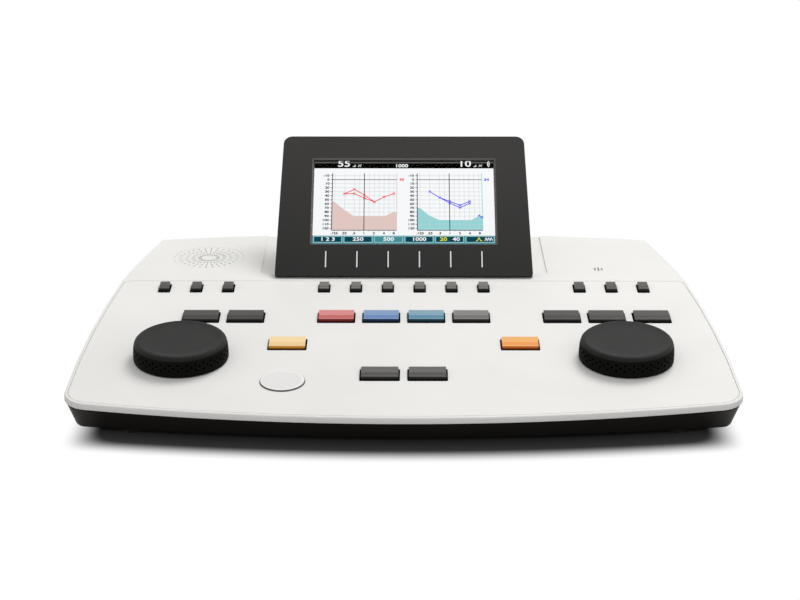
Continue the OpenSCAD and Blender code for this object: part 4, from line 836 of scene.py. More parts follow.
@dataclass
class KeySet:
    """Every key that is pressed, with its cap's own coordinates for the resin."""

    shop: Workshop
    edge: float = 0.22 * MM
    brow: float = 0.4 * MM
    corner: float = 0.8 * MM
    sunk: float = 0.3 * MM
    front_slack: float = 0.3 * MM
    least_rise: float = 1.0 * MM
    kinds: Sequence[Tuple[str, Finish]] = (
        ("soft_key", Finish.SOFT_KEY), ("small_key", Finish.SMALL_KEY), ("wide_key", Finish.DARK_KEY),
        ("down_key", Finish.STEP_KEY), ("up_key", Finish.STEP_KEY), ("red_key", Finish.RED_KEY),
        ("blue_key", Finish.BLUE_KEY), ("teal_key", Finish.TEAL_KEY), ("grey_key", Finish.GREY_KEY),
        ("yellow_key", Finish.YELLOW_KEY), ("orange_key", Finish.ORANGE_KEY))

    def finish_of(self, node: str) -> Optional[Finish]:
        """The finish of a key's node, or None for a node that isn't a key."""
        return next((finish for kind, finish in self.kinds if kind in node), None)

    def build(self) -> None:
        """Makes every key."""
        for node in sorted(self.shop.frame["nodes"]):
            finish = self.finish_of(node)
            if finish is not None:
                self._key(node, finish)

    def _key(self, node: str, finish: Finish) -> None:
        """Cuts one cap's brow, softens its upper edges and writes its coordinates from the cap's centre."""
        blank = self.shop.blank(node)
        inverse = self.shop.layout.panel.inverted()
        local = [inverse @ vert.co for vert in blank.bm.verts]
        centre = sum(local, Vector()) / len(local)
        centre.y = (min(p.y for p in local) + max(p.y for p in local)) / 2
        centre.z = 0.0
        front, top = min(p.y for p in local), max(p.z for p in local)

        def on_brow(edge: bmesh.types.BMEdge) -> bool:
            """True for the upper front edge."""
            ends = [inverse @ vert.co for vert in edge.verts]
            return all(p.z > top - self.least_rise and p.y < front + self.front_slack for p in ends)

        def above(edge: bmesh.types.BMEdge) -> bool:
            """True for edges that stand above the panel."""
            return all((inverse @ vert.co).z > self.sunk for vert in edge.verts)

        def upright(edge: bmesh.types.BMEdge) -> bool:
            """True for the cap's upright corners."""
            ends = sorted((inverse @ vert.co for vert in edge.verts), key=lambda p: p.z)
            run = ends[1] - ends[0]
            steep = math.hypot(run.x, run.y) < 0.5 * run.z
            return steep and min(ends[1].z, run.z) > self.least_rise

        blank.round_edges(self.corner, 60.0, upright, 3)
        blank.round_edges(self.brow, 25.0, on_brow, 1)
        blank.round_edges(self.edge, 18.0, above, 2)
        layer = blank.bm.verts.layers.float_vector.new(KEY_PLACE)
        for vert in blank.bm.verts:
            vert[layer] = inverse @ vert.co - centre
        self.shop.hand_over(blank, f"cap_{node}", self.shop.body_of(node), [finish], [node], 30.0)


@dataclass
class ToneSwitch:
    """The round switch: a faintly hollow top with a bevelled edge, a flange and a stem."""

    shop: Workshop
    x: float = -65.9 * MM
    row: float = 137.8 * MM
    radius: float = 12.25 * MM
    bevel: float = 1.9 * MM
    height: float = 1.0 * MM
    rim_share: float = 0.72
    hollow: float = 0.05 * MM
    flange: float = 0.9 * MM
    flange_top: float = -4.726 * MM
    flange_t: float = 1.0 * MM
    stem_r: float = 1.6 * MM
    stem_low: float = -8.8 * MM
    steps: int = 96

    def build(self) -> None:
        """Turns the switch round its axis."""
        low = self.flange_top - self.flange_t
        rim = self.height * self.rim_share
        inner = self.radius - self.bevel
        crown = [(0.0, self.height - self.hollow), (inner * 0.5, self.height - 0.9 * self.hollow),
                 (inner - 0.5 * MM, self.height), (inner - 0.1 * MM, self.height)]
        slope = [(inner + 0.2 * MM, self.height - 0.06 * MM), (self.radius - 0.25 * MM, rim + 0.08 * MM),
                 (self.radius - 0.05 * MM, rim - 0.08 * MM), (self.radius, rim - 0.3 * MM)]
        below = [(self.radius, self.flange_top), (self.radius + self.flange, self.flange_top),
                 (self.radius + self.flange, low), (self.stem_r, low), (self.stem_r, self.stem_low),
                 (0.0, self.stem_low)]
        place = self.shop.layout.panel @ Matrix.Translation((self.x, -self.row, 0.0))
        blank = Blank().turn(crown + slope + below, self.steps, place)
        inverse = place.inverted()
        # Painted light: the bevel gets a lighter copy of the white, and the wall below the rim a grey one for
        # its shade.
        for face in blank.bm.faces:
            middle = inverse @ face.calc_center_median()
            if math.hypot(middle.x, middle.y) > inner + 0.05 * MM:
                face.material_index = 1 if middle.z > rim + 0.02 * MM else 2
        self.shop.hand_over(blank, "turned_tone_switch", "tone_switch",
                            [Finish.TONE_SWITCH, Finish.TONE_BEVEL_HIGHLIGHT, Finish.TONE_WALL_SHADE], ["tone_switch"], 32.0)


@dataclass
class Knob:
    """One rotary knob: a rubber grip with dimples, over a core and a shaft."""

    shop: Workshop
    side: str
    x: float
    row: float = 108.6 * MM
    gap: float = 0.3 * MM
    radius: float = 26.5 * MM
    height: float = 11.7 * MM
    draft: float = 0.6 * MM
    shoulder: float = 2.8 * MM
    dish: float = 0.6 * MM
    dish_line: Sequence[Point] = ((0.0, 0.0), (8 * MM, 0.0), (15 * MM, 0.02 * MM), (19 * MM, 0.1 * MM),
                                  (21.6 * MM, 0.4 * MM))
    foot: float = 0.7 * MM
    foot_step: Point = (0.15 * MM, 0.18 * MM)
    mouth: float = 0.4 * MM
    seat_edge: float = 0.3 * MM
    core_r: float = 22.0 * MM
    core_h: float = 8.1 * MM
    columns: int = 68
    dimple: float = 0.68 * MM
    dimple_depth: float = 0.5 * MM
    dimple_taper: float = 0.86
    inset: float = 0.05 * MM
    dimple_z: float = 4.1 * MM
    pitch: float = 1.62 * MM

    @property
    def place(self) -> Matrix:
        """The knob's frame: z is its axis, 0 its lower edge."""
        return self.shop.layout.panel @ Matrix.Translation((self.x, -self.row, self.gap))

    def _profile(self) -> List[Point]:
        """Radius and height from the top's centre over the shoulder to the core's seat."""
        centre = (self.radius - self.draft - self.shoulder, self.height - self.shoulder)
        floor = self.height - self.dish
        top = [(radius, floor + rise) for radius, rise in self.dish_line]
        turns = [math.radians(degrees) for degrees in range(0, 91, 15)]
        arc = [(centre[0] + self.shoulder * math.sin(turn), centre[1] + self.shoulder * math.cos(turn))
               for turn in turns]
        rows = [(self.radius - self.draft * share, self.dimple_z + self.pitch * (i + 0.5))
                for i, share in ((2, 0.6), (1, 0.3), (0, 0.1), (-1, 0.0))]
        foot = [(self.radius, self.foot), (self.radius - self.foot_step[0], self.foot_step[1]),
                (self.radius - self.foot, 0.0), (self.core_r + self.mouth, 0.0)]
        seat = [(self.core_r, self.seat_edge), (self.core_r, self.core_h - self.seat_edge),
                (self.core_r - self.seat_edge, self.core_h), (self.core_r * 0.5, self.core_h),
                (0.0, self.core_h)]
        return top + arc + rows + foot + seat

    def _press_dimples(self, blank: Blank) -> None:
        """Presses one dimple into every second cell of three rows, with the middle row shifted, and paints
        shade into the dimples.
        """
        tops = [self.dimple_z + self.pitch * i for i in range(3)]
        cells = []
        for face in blank.bm.faces:
            middle = face.calc_center_median()
            if math.hypot(middle.x, middle.y) < self.radius - self.draft - 0.1 * MM:
                continue
            column = round(math.atan2(middle.y, middle.x) / math.tau * self.columns - 0.5)
            cells += [face for i, z in enumerate(tops)
                      if abs(middle.z - z) < 0.3 * self.pitch and (column + i) % 2]
        for size, depth in ((self.dimple, 0.0), (self.dimple * self.dimple_taper, self.dimple_depth)):
            walls = bmesh.ops.inset_individual(blank.bm, faces=cells, thickness=self.inset,
                                               depth=0.0)["faces"]
            for face in cells:
                self._shape_cell(face, size, depth)
            # The sunk cells and their walls get the painted shade of the hollows.
            if depth > 0.0:
                for face in walls + cells:
                    face.material_index = 1

    def _shape_cell(self, face: bmesh.types.BMFace, size: float, depth: float) -> None:
        """Makes one cell a square of the dimple's size, sunk by depth."""
        middle = face.calc_center_median()
        outward = Vector((middle.x, middle.y, 0.0)).normalized()
        along = Vector((-outward.y, outward.x, 0.0))
        for vert in face.verts:
            offset = vert.co - middle
            vert.co = (middle + along * math.copysign(size, offset.dot(along))
                       + Vector((0, 0, math.copysign(size, offset.z))) - outward * depth)

    def build(self) -> None:
        """Turns the grip, presses its dimples, rounds it and dresses the core and shaft."""
        blank = Blank().turn(self._profile(), self.columns, Matrix.Identity(4))
        # Painted shade: the side below the shoulder gets the darker side rubber.
        for face in blank.bm.faces:
            middle = face.calc_center_median()
            on_side = math.hypot(middle.x, middle.y) > self.radius - self.draft - 0.4 * self.shoulder
            face.material_index = 2 if on_side and middle.z < self.height - 0.75 * self.shoulder else 0
        self._press_dimples(blank)
        bmesh.ops.transform(blank.bm, matrix=self.place, verts=blank.bm.verts)
        piece = self.shop.hand_over(blank, f"{self.side}_grip", f"{self.side}_knob",
                                    [Finish.KNOB_RUBBER, Finish.KNOB_DIMPLE_SHADE, Finish.KNOB_SIDE_SHADE],
                                    [f"{self.side}_knob_grip"], 180.0)
        piece.modifiers.clear()
        rounder = piece.modifiers.new("rounding", "SUBSURF")
        rounder.levels = rounder.render_levels = 2
        self.shop.paint_nodes(Finish.SWITCH_PLASTIC, f"{self.side}_knob_core")
        self.shop.paint_nodes(Finish.PLATED_STEEL, f"{self.side}_encoder_shaft")


@dataclass
class SoundParts:
    """Speaker grille with its cloth, the loudspeaker and the talk microphone."""

    shop: Workshop
    x: float = -122.9 * MM
    row: float = 42.2 * MM
    cloth_r: float = 20.0 * MM
    cloth_z: float = -1.75 * MM
    cloth_t: float = 0.2 * MM
    cloth_steps: int = 48
    edge: float = 0.3 * MM
    slots_r: float = 21.0 * MM

    def build(self) -> None:
        """Makes the cloth, softens the grille outside its slots and dresses the rest."""
        rim = lies_on(self.shop.layout.deck)
        centre = self.shop.layout.deck @ Vector((self.x, self.row, 0.0))
        self.shop.soften_node("speaker_grille", Finish.WHITE_SHELL, self.edge, 60.0,
                              lambda edge: rim(edge) and (edge.verts[0].co - centre).length > self.slots_r)
        place = self.shop.layout.deck @ Matrix.Translation((self.x, self.row, self.cloth_z))
        radii = (0.0, self.cloth_r * 0.5, self.cloth_r)
        profile = [(radius, self.cloth_t) for radius in radii] + [(radius, 0.0) for radius in reversed(radii)]
        cloth = Blank().turn(profile, self.cloth_steps, place)
        self.shop.hand_over(cloth, "grille_cloth", "case", [Finish.SPEAKER_CLOTH])
        self.shop.paint_nodes(Finish.SPEAKER_BASKET, "loudspeaker")
        self.shop.paint_nodes(Finish.BLACK_FRAME, "talk_microphone")


@dataclass
class Display:
    """The display: bezel with ticks, rear cover, window, screen module, board and hinge pins."""

    shop: Workshop
    tick_xs: Sequence[float] = tuple((i - 2.5) * 19.2 * MM for i in range(6))
    tick_low: float = 6.4 * MM
    tick_high: float = 18.1 * MM
    tick_w: float = 0.8 * MM
    tick_shadow_margin: float = 0.3 * MM
    ink: float = 0.03 * MM
    sunk: float = 0.01 * MM
    lip: float = 0.9 * MM
    edge: float = 0.5 * MM
    cover_edge: float = 0.3 * MM
    module_edge: float = 0.4 * MM
    module_front: float = -3.45 * MM
    module_back: float = -6.45 * MM
    half_w: float = 59.0 * MM
    low: float = 22.0 * MM
    high: float = 89.0 * MM

    def build(self) -> None:
        """Makes every part of the display."""
        place = self.shop.layout.display
        on_face = lies_on(place)
        bezel = self.shop.blank("display_bezel")
        inverse = place.inverted()

        def near_opening(point: Vector) -> bool:
            """True for a point beside the screen's opening."""
            spot = inverse @ point
            return abs(spot.x) < self.half_w + 0.5 * MM and self.low < spot.y < self.high + 1.0 * MM

        def inner(edge: bmesh.types.BMEdge) -> bool:
            """True for the opening's edges on the face."""
            return on_face(edge) and all(near_opening(vert.co) for vert in edge.verts)

        bezel.round_edges(self.lip, 60.0, inner, 1)
        # Painted highlight: the chamfer round the opening gets the light grey lip colour.
        facing = place.to_3x3() @ Vector((0.0, 0.0, 1.0))
        bezel.bm.normal_update()
        for face in bezel.bm.faces:
            if near_opening(face.calc_center_median()) and 0.3 < face.normal.dot(facing) < 0.9:
                face.material_index = 1
        bezel.round_edges(self.edge, 60.0, on_face, 3)
        self.shop.hand_over(bezel, "soft_display_bezel", "display", [Finish.DARK_BEZEL, Finish.BEZEL_LIP_HIGHLIGHT],
                            ["display_bezel"])
        self.shop.soften_node("display_rear_cover", Finish.WHITE_SHELL, self.cover_edge, 50.0)
        ticks, rims = Blank(), Blank()
        for x in self.tick_xs:
            ticks.block((x - self.tick_w / 2, self.tick_low, -self.sunk),
                        (x + self.tick_w / 2, self.tick_high, self.ink), place)
            # Painted shadow: a black strip on either side of each tick.
            rims.block((x - self.tick_w, self.tick_low - self.tick_shadow_margin, -self.sunk),
                       (x + self.tick_w, self.tick_high + self.tick_shadow_margin, self.ink / 2), place)
        self.shop.hand_over(ticks, "bezel_ticks", "display", [Finish.PRINTED_WHITE])
        self.shop.hand_over(rims, "tick_shadows", "display", [Finish.BLACK_FRAME])
        module = Blank()
        module.block((-self.half_w, self.low, self.module_back),
                     (self.half_w, self.high, self.module_front), place)
        module.round_edges(self.module_edge, 60.0, lambda edge: True)
        self.shop.hand_over(module, "screen_module", "display", [Finish.SCREEN_BODY], ["lcd_panel"])
        self.shop.paint_nodes(Finish.WINDOW, "display_window")
        self.shop.paint_nodes(Finish.CIRCUIT_BOARD, "display_board")
        self.shop.paint_nodes(Finish.PLATED_STEEL, "display_screws", "hinge_pins")


@dataclass(frozen=True)
class Chart:
    """One chart on the screen, in millimetres of the display's frame."""

    name: str
    left: float
    right: float
    middle: float
    first: float
    ink: Finish
    area_ink: Finish
    area: Sequence[Point]
    curves: Sequence[Sequence[Point]]
    reading: str
    reading_x: float
    low: float = 35.5
    high: float = 78.5
    zero: float = 73.6
    step: float = 3.06
    pitch: float = 6.18
    rows: int = 14
    tones: Sequence[str] = (".125", ".25", ".5", "1", "2", "4", "8")
    last_whole: int = 4
    digit: float = 1.65
    mark: float = 0.75


CHARTS = (
    Chart("left_chart", -45.05, -4.45, -24.9, -43.37, Finish.LIT_RED, Finish.LIT_PINK,
          ((-45.0, 57.1), (-43.8, 56.9), (-37.35, 50.8), (-31.0, 46.0), (-12.0, 46.0), (-6.3, 49.3),
           (-4.5, 49.0), (-4.5, 35.5), (-45.0, 35.5)),
          (((-37.35, 62.9), (-31.1, 66.2), (-24.8, 61.9), (-18.5, 56.7), (-12.5, 60.4), (-6.25, 63.0)),
           ((-37.35, 62.9), (-31.1, 63.0), (-24.8, 59.6), (-18.5, 56.7))), "45", -1.3),
    Chart("right_chart", 8.4, 49.15, 28.6, 10.08, Finish.LIT_BLUE, Finish.LIT_AQUA,
          ((8.5, 52.1), (10.1, 52.1), (16.3, 46.1), (22.4, 43.2), (41.9, 43.2), (46.3, 45.6), (49.1, 46.1),
           (49.1, 35.5), (8.5, 35.5)),
          (((16.3, 64.5), (22.5, 60.0), (28.8, 57.1), (35.1, 54.2), (41.25, 57.1)),
           ((22.5, 60.0), (28.8, 55.8), (35.1, 52.4), (41.25, 55.6)), ((47.1, 46.4), (48.8, 45.2))),
          "54", 52.2))


@dataclass
class Ink:
    """One colour of the lit picture, drawn flat in millimetres of the display's frame."""

    shop: Workshop
    name: str
    finish: Finish
    layer: int
    ground: float = -3.44
    thickness: float = 0.04
    spread: float = 1.22
    weight: float = 0.075
    blank: Blank = field(default_factory=Blank)

    def __post_init__(self) -> None:
        """Works out the height of the layer's face."""
        self.top = self.ground + self.thickness * (self.layer + 1)

    def _place(self, x: float, y: float, z: float = 0.0) -> Matrix:
        """The display's frame, moved by millimetres."""
        return self.shop.layout.display @ Matrix.Translation(Vector((x, y, z)) * MM)

    def patch(self, x0: float, y0: float, x1: float, y1: float) -> None:
        """Adds a flat rectangle."""
        low, high = Vector((x0, y0, self.ground)) * MM, Vector((x1, y1, self.top)) * MM
        self.blank.block(low, high, self.shop.layout.display)

    def line(self, a: Point, b: Point, width: float) -> None:
        """Adds a straight line between two points."""
        run = Vector((b[0] - a[0], b[1] - a[1]))
        place = self._place(*a) @ Matrix.Rotation(math.atan2(run.y, run.x), 4, "Z")
        low = Vector((0.0, -width / 2, self.ground)) * MM
        self.blank.block(low, Vector((run.length, width / 2, self.top)) * MM, place)

    def chain(self, points: Sequence[Point], width: float) -> None:
        """Adds straight lines from point to point."""
        for a, b in zip(points, points[1:]):
            self.line(a, b, width)

    def cross(self, x: float, y: float, half: float, width: float) -> None:
        """Adds two crossed lines."""
        self.line((x - half, y - half), (x + half, y + half), width)
        self.line((x - half, y + half), (x + half, y - half), width)

    def rim(self, x0: float, y0: float, x1: float, y1: float, width: float) -> None:
        """Adds the four sides of a box."""
        for patch in ((x0, y0, x1, y0 + width), (x0, y1 - width, x1, y1),
                      (x0, y0 + width, x0 + width, y1 - width), (x1 - width, y0 + width, x1, y1 - width)):
            self.patch(*patch)

    def area(self, points: Sequence[Point]) -> None:
        """Adds a flat outline, as thick as the layer."""
        bm = self.blank.bm
        upper = [bm.verts.new(Vector((x, y, self.top)) * MM) for x, y in points]
        grown = bmesh.ops.extrude_face_region(bm, geom=[bm.faces.new(upper)])["geom"]
        lower = [item for item in grown if isinstance(item, bmesh.types.BMVert)]
        bmesh.ops.translate(bm, verts=lower, vec=(0.0, 0.0, (self.ground - self.top) * MM))
        around = {face for vert in upper + lower for face in vert.link_faces}
        bmesh.ops.recalc_face_normals(bm, faces=list(around))
        bmesh.ops.transform(bm, matrix=self.shop.layout.display, verts=upper + lower)

    def figure(self, text: str, x: float, y: float, height: float) -> None:
        """Adds plain, wide figures."""
        wide = Matrix.Diagonal((self.spread, 1.0, 1.0, 1.0))
        place = self._place(x, y, (self.ground + self.top) / 2) @ wide
        self.blank.letter(text, height * MM, (self.top - self.ground) * MM, place, self.weight * MM)

    def give(self) -> None:
        """Hands the colour over."""
        self.shop.hand_over(self.blank, self.name, "display", [self.finish])


@dataclass
class ScreenPicture:
    """The lit picture: a status bar, two charts and a row of soft-key cells, with plain numbers only.

    Its lengths are millimetres of the display's frame.
    """

    shop: Workshop
    half_w: float = 56.7
    low: float = 24.0
    strip_high: float = 31.6
    bar_low: float = 82.3
    high: float = 88.3
    edge_w: float = 0.6
    stripe: Point = (86.2, 87.4)
    level_xs: Point = (-38.0, 38.6)
    level_y: float = 85.7
    mark_xs: Point = (-31.5, 45.0)
    mark_low: float = 83.4
    sound_at: Point = (54.8, 85.6)
    cells: int = 6
    cell_gap: float = 0.9
    cell_low: float = 26.4
    cell_high: float = 31.3
    cell_middle: float = 28.9
    digit: float = 2.7
    peak_x: float = 46.6
    wave_x: float = 52.6
    wave_low: float = 27.7

    def _ink(self, name: str, finish: Finish, layer: int) -> Ink:
        """Starts one colour of the picture."""
        return Ink(self.shop, name, finish, layer)

    def build(self) -> None:
        """Makes the picture from its ground upwards."""
        ground = self._ink("screen_ground", Finish.LIT_WHITE, 0)
        ground.patch(-self.half_w, self.strip_high, self.half_w, self.bar_low)
        ground.give()
        # Painted highlight: a grey strip round the picture, where the opening's edge catches light.
        edge = self._ink("screen_edge_highlight", Finish.SCREEN_EDGE_HIGHLIGHT, 0)
        reach = self.half_w + self.edge_w
        edge.rim(-reach, self.low - self.edge_w, reach, self.high + self.edge_w, self.edge_w)
        edge.give()
        self._status()
        self._strip()
        for chart in CHARTS:
            self._chart(chart)

    def _status(self) -> None:
        """The black bar on top, a grey stripe in it, its numbers and small marks."""
        bar = self._ink("status_bar", Finish.LIT_BLACK, 0)
        stripe = self._ink("status_stripe", Finish.LIT_DARK_GREY, 1)
        marks = self._ink("status_marks", Finish.LIT_GRID, 2)
        numbers = self._ink("status_numbers", Finish.LIT_WHITE, 3)
        bar.patch(-self.half_w, self.bar_low, self.half_w, self.high)
        stripe.patch(-self.half_w, self.stripe[0], self.half_w, self.stripe[1])
        for x in self.mark_xs:
            marks.area([(x - 1.1, self.mark_low), (x + 0.9, self.mark_low), (x + 0.9, self.mark_low + 1.9)])
            marks.line((x + 2.4, self.mark_low + 0.1), (x + 4.6, self.mark_low + 1.9), 0.45)
            marks.line((x + 2.6, self.mark_low + 1.7), (x + 4.4, self.mark_low + 0.1), 0.45)
        for size in (0.8, 1.7):
            turns = [math.radians(degrees) for degrees in range(-60, 61, 20)]
            numbers.chain([(self.sound_at[0] - size * math.cos(turn),
                            self.sound_at[1] + 1.5 * size * math.sin(turn)) for turn in turns], 0.5)
        for number, x in zip(("55", "10"), self.level_xs):
            numbers.figure(number, x, self.level_y, 5.0)
        numbers.figure("1000", -1.5, 84.2, 2.5)
        for ink in (bar, stripe, marks, numbers):
            ink.give()

    def _strip(self) -> None:
        """Six cells over the soft keys, with numbers and two wave marks."""
        strip = self._ink("cell_strip", Finish.LIT_TEAL, 0)
        rims = self._ink("cell_rims", Finish.LIT_PALE_TEAL, 1)
        fields = self._ink("cell_fields", Finish.LIT_DEEP_TEAL, 1)
        white = self._ink("cell_numbers", Finish.LIT_WHITE, 2)
        yellow = self._ink("cell_accents", Finish.LIT_YELLOW, 2)
        strip.patch(-self.half_w, self.low, self.half_w, self.strip_high)
        width = 2 * self.half_w / self.cells
        for i in range(self.cells):
            x0 = -self.half_w + width * i + self.cell_gap / 2
            x1 = x0 + width - self.cell_gap
            rims.rim(x0, self.cell_low, x1, self.cell_high, 0.4)
            if i != 2:
                fields.patch(x0 + 0.7, self.cell_low + 0.6, x1 - 0.7, self.cell_high - 0.6)
        for ink, number, cell in ((white, "1 2 3", 0.5), (white, "250", 1.5), (white, "500", 2.5),
                                  (white, "1000", 3.5), (yellow, "20", 4.3), (white, "40", 4.72)):
            ink.figure(number, -self.half_w + width * cell, self.cell_middle, self.digit)
        yellow.chain([(self.peak_x + x, self.wave_low + y)
                      for x, y in ((-2, 0), (-1, 0.1), (0, 2.5), (1, 0.1), (2, 0))], 0.5)
        white.chain([(self.wave_x + 0.8 * (i - 3), self.wave_low + rise)
                     for i, rise in enumerate((0, 2.4, 0.1, 2.4, 0.1, 2.4, 0.1))], 0.45)
        for ink in (strip, rims, fields, white, yellow):
            ink.give()

    def _chart(self, chart: Chart) -> None:
        """Draws one chart in its own colours."""
        area = self._ink(f"{chart.name}_area", chart.area_ink, 1)
        grid = self._ink(f"{chart.name}_grid", Finish.LIT_GRID, 2)
        axis = self._ink(f"{chart.name}_axis", Finish.LIT_AXIS, 3)
        curve = self._ink(f"{chart.name}_curve", chart.ink, 4)
        area.area(chart.area)
        area.line((chart.right, chart.low), (chart.right, chart.high), 0.45)
        for i in range(chart.rows):
            y = chart.zero + chart.step * (1 - i)
            grid.line((chart.left, y), (chart.right, y), 0.2)
            axis.line((chart.left - 1.1, y), (chart.left, y), 0.35)
            text = str(10 * (i - 1))
            axis.figure(text, chart.left - 2.0 - 0.62 * len(text), y, chart.digit)
        for i in range(2 * len(chart.tones) - 1):
            x = chart.first + chart.pitch * i / 2
            if i % 2 == 0:
                axis.figure(chart.tones[i // 2], x, chart.low - 2.25, chart.digit)
            if i % 2 == 0 or i > chart.last_whole:
                grid.line((x, chart.low), (x, chart.high), 0.2)
                axis.line((x, chart.low - 0.7), (x, chart.low), 0.3)
        for x in (chart.left, chart.middle):
            axis.line((x, chart.low), (x, chart.high), 0.5)
        for y, width in ((chart.low, 0.4), (chart.zero, 0.38)):
            axis.line((chart.left, y), (chart.right, y), width)
        for points in chart.curves:
            curve.chain(points, 0.5)
            for x, y in points:
                curve.cross(x, y, chart.mark, 0.4)
        curve.figure(chart.reading, chart.reading_x, chart.zero, 1.9)
        for ink in (area, grid, axis, curve):
            ink.give()


@dataclass
class RearConnectors:
    """The connector plate with its sockets, the inlet and the power switch."""

    shop: Workshop
    edge: float = 0.25 * MM

    def build(self) -> None:
        """Softens every connector's edges and dresses it."""
        finishes = {"rear_panel": Finish.BLACK_SHELL, "jack_sockets": Finish.SWITCH_PLASTIC,
                    "usb_socket": Finish.PLATED_STEEL, "power_inlet": Finish.SWITCH_PLASTIC,
                    "power_switch_body": Finish.BLACK_FRAME, "power_rocker": Finish.SWITCH_PLASTIC}
        for node, finish in finishes.items():
            self.shop.soften_node(node, finish, self.edge)


@dataclass
class Internals:
    """Boards, switches, encoders and hinge brackets inside the case."""

    shop: Workshop

    def build(self) -> None:
        """Dresses the nodes that stay as they are."""
        self.shop.paint_nodes(Finish.CIRCUIT_BOARD, "main_board", "key_board")
        self.shop.paint_nodes(Finish.SWITCH_PLASTIC, "key_switches")
        self.shop.paint_nodes(Finish.ZINC, "encoder_bodies", "hinge_brackets")


# --- studio -----------------------------------------------------------------------------------------


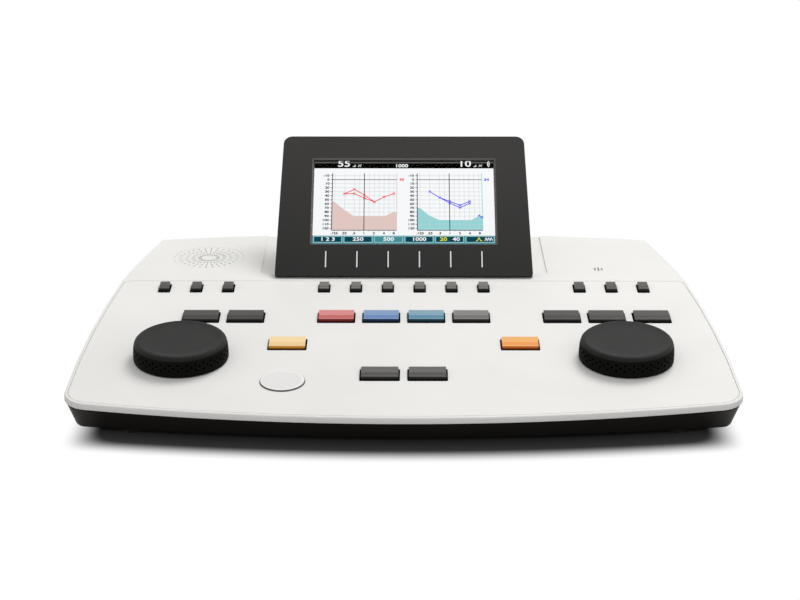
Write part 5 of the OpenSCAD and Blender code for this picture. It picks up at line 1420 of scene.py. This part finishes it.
@dataclass
class Studio:
    """Floor, light and the camera of the photograph."""

    focal_px: float = 1900.0
    frame_px: float = 800.0
    camera_at: Tuple[float, float, float] = (0.6 * MM, -1078.6 * MM, 366.6 * MM)
    pitch: float = 17.0
    yaw: float = 0.15
    horizon: float = 0.58
    frontal: float = 0.25
    lamp_w: float = 32.5
    lamp_side: float = 1.15
    lamp_at: Tuple[float, float, float] = (0.75, 1.1, 2.1)
    floor_side: float = 30.0
    # Painted shadow: the floor's dark tones near the object, the outline discs and their fade.
    shadow_floor_tones: Tuple[Colour, Colour] = (paint(74, 74, 74), paint(78, 78, 78))
    floor_bounce: Colour = paint(172, 172, 172)
    outline: Sequence[Tuple[float, float, float]] = (
        (0.0, 783.8 * MM, 930 * MM), (-817.5 * MM, -115 * MM, 978 * MM), (817.5 * MM, -115 * MM, 978 * MM),
        (0.0, -828.8 * MM, 975 * MM))
    shadow_fade: Tuple[float, float] = (2.5 * MM, 22 * MM)
    corner: float = 20 * MM

    def build(self) -> None:
        """Sets up the camera, the floor, the world and the lamp."""
        scene = bpy.context.scene
        scene.view_settings.view_transform = "Standard"
        self._camera(scene)
        self._floor()
        self._world(scene)
        self._lamp(scene)

    def _camera(self, scene: bpy.types.Scene) -> None:
        """Stands the camera where the photograph was taken from."""
        data = bpy.data.cameras.new("camera")
        data.sensor_width = 36.0
        data.lens = self.focal_px * data.sensor_width / self.frame_px
        camera = bpy.data.objects.new("camera", data)
        camera.location = self.camera_at
        camera.rotation_euler = (math.radians(90.0 - self.pitch), 0.0, math.radians(self.yaw))
        scene.collection.objects.link(camera)
        scene.camera = camera

    def _seen(self, sheet: NodeSheet) -> Wire:
        """1 for rays that show the background: from the camera, a gloss or a clear pane."""
        rays = [sheet.add("ShaderNodeLightPath", {}, {}, kind)
                for kind in ("Is Camera Ray", "Is Glossy Ray", "Is Transmission Ray")]
        return (rays[0] + rays[1] + rays[2]).rise(0.0, 1.0)

    def _floor(self) -> None:
        """Lays a floor that takes the object's shadow, with a painted shadow near the object: the camera sees
        it dark grey there, turning white further away.
        """
        sheet = NodeSheet.named("pale_floor")
        grain = sheet.noise(4 * MM, 2.0)
        seen = self._seen(sheet)
        # Painted shadow: the camera sees the floor dark grey near the object, while light bounces off it
        # pale.
        shadow_tone = sheet.blend(grain, *self.shadow_floor_tones)
        colour = sheet.blend(seen, self.floor_bounce, shadow_tone)
        matt = sheet.add("ShaderNodeBsdfDiffuse", {}, {"Color": colour}, "BSDF")
        away: Number = -1.0
        for x, y, radius in self.outline:
            reach = sheet.add("ShaderNodeVectorMath", {"operation": "DISTANCE"},
                              {0: sheet.place(), 1: (x, y, 0.0)}, "Value") - radius
            away = sheet.add("ShaderNodeMath", {"operation": "SMOOTH_MAX"},
                             {0: away, 1: reach, 2: self.corner})
        # The painted shadow fades to white with distance from the object's outline.
        share = seen * away.rise(*self.shadow_fade, "SMOOTHSTEP")
        white = sheet.add("ShaderNodeEmission", {}, {"Color": WHITE_LIGHT, "Strength": 1.0}, "Emission")
        both = sheet.add("ShaderNodeMixShader", {}, {0: share, 1: matt, 2: white})
        sheet.add("ShaderNodeOutputMaterial", {}, {"Surface": both}, None)
        blank = Blank()
        bmesh.ops.create_grid(blank.bm, x_segments=1, y_segments=1, size=self.floor_side / 2)
        mesh = bpy.data.meshes.new("floor")
        blank.bm.to_mesh(mesh)
        blank.bm.free()
        mesh.materials.append(sheet.owner)
        floor = bpy.data.objects.new("floor", mesh)
        bpy.context.scene.collection.objects.link(floor)

    def _world(self, scene: bpy.types.Scene) -> None:
        """Makes the surroundings white to look at; their light comes from all sides, most from the front."""
        world = bpy.data.worlds.new("surroundings")
        sheet = NodeSheet(world)
        direction = sheet.add("ShaderNodeTexCoord", output="Generated")
        ambient = self.horizon - sheet.part(direction, "Y") * self.frontal
        strength = ambient + self._seen(sheet) * (1.0 - ambient)
        light = sheet.add("ShaderNodeBackground", {}, {"Color": WHITE_LIGHT, "Strength": strength},
                          "Background")
        sheet.add("ShaderNodeOutputWorld", {}, {"Surface": light}, None)
        scene.world = world

    def _lamp(self, scene: bpy.types.Scene) -> None:
        """Hangs one soft lamp behind and above the object."""
        data = bpy.data.lights.new("soft_lamp", "AREA")
        data.shape, data.size, data.energy = "SQUARE", self.lamp_side, self.lamp_w
        lamp = bpy.data.objects.new("soft_lamp", data)
        lamp.location = self.lamp_at
        lamp.rotation_euler = (Vector(self.lamp_at)).to_track_quat("Z", "Y").to_euler()
        scene.collection.objects.link(lamp)


def main() -> None:
    """Builds the dressed model and its studio."""
    logging.basicConfig(level=logging.INFO, format="%(name)s: %(message)s")
    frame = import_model()
    shop = Workshop(frame)
    for assembly in (CaseShells(shop), ControlPanel(shop), KeySet(shop), ToneSwitch(shop),
                     Knob(shop, "left", -KNOB_X), Knob(shop, "right", KNOB_X), SoundParts(shop),
                     Display(shop), ScreenPicture(shop), RearConnectors(shop), Internals(shop), Studio()):
        LOG.info("building %s", type(assembly).__name__)
        assembly.build()


if __name__ == "__main__":
    main()
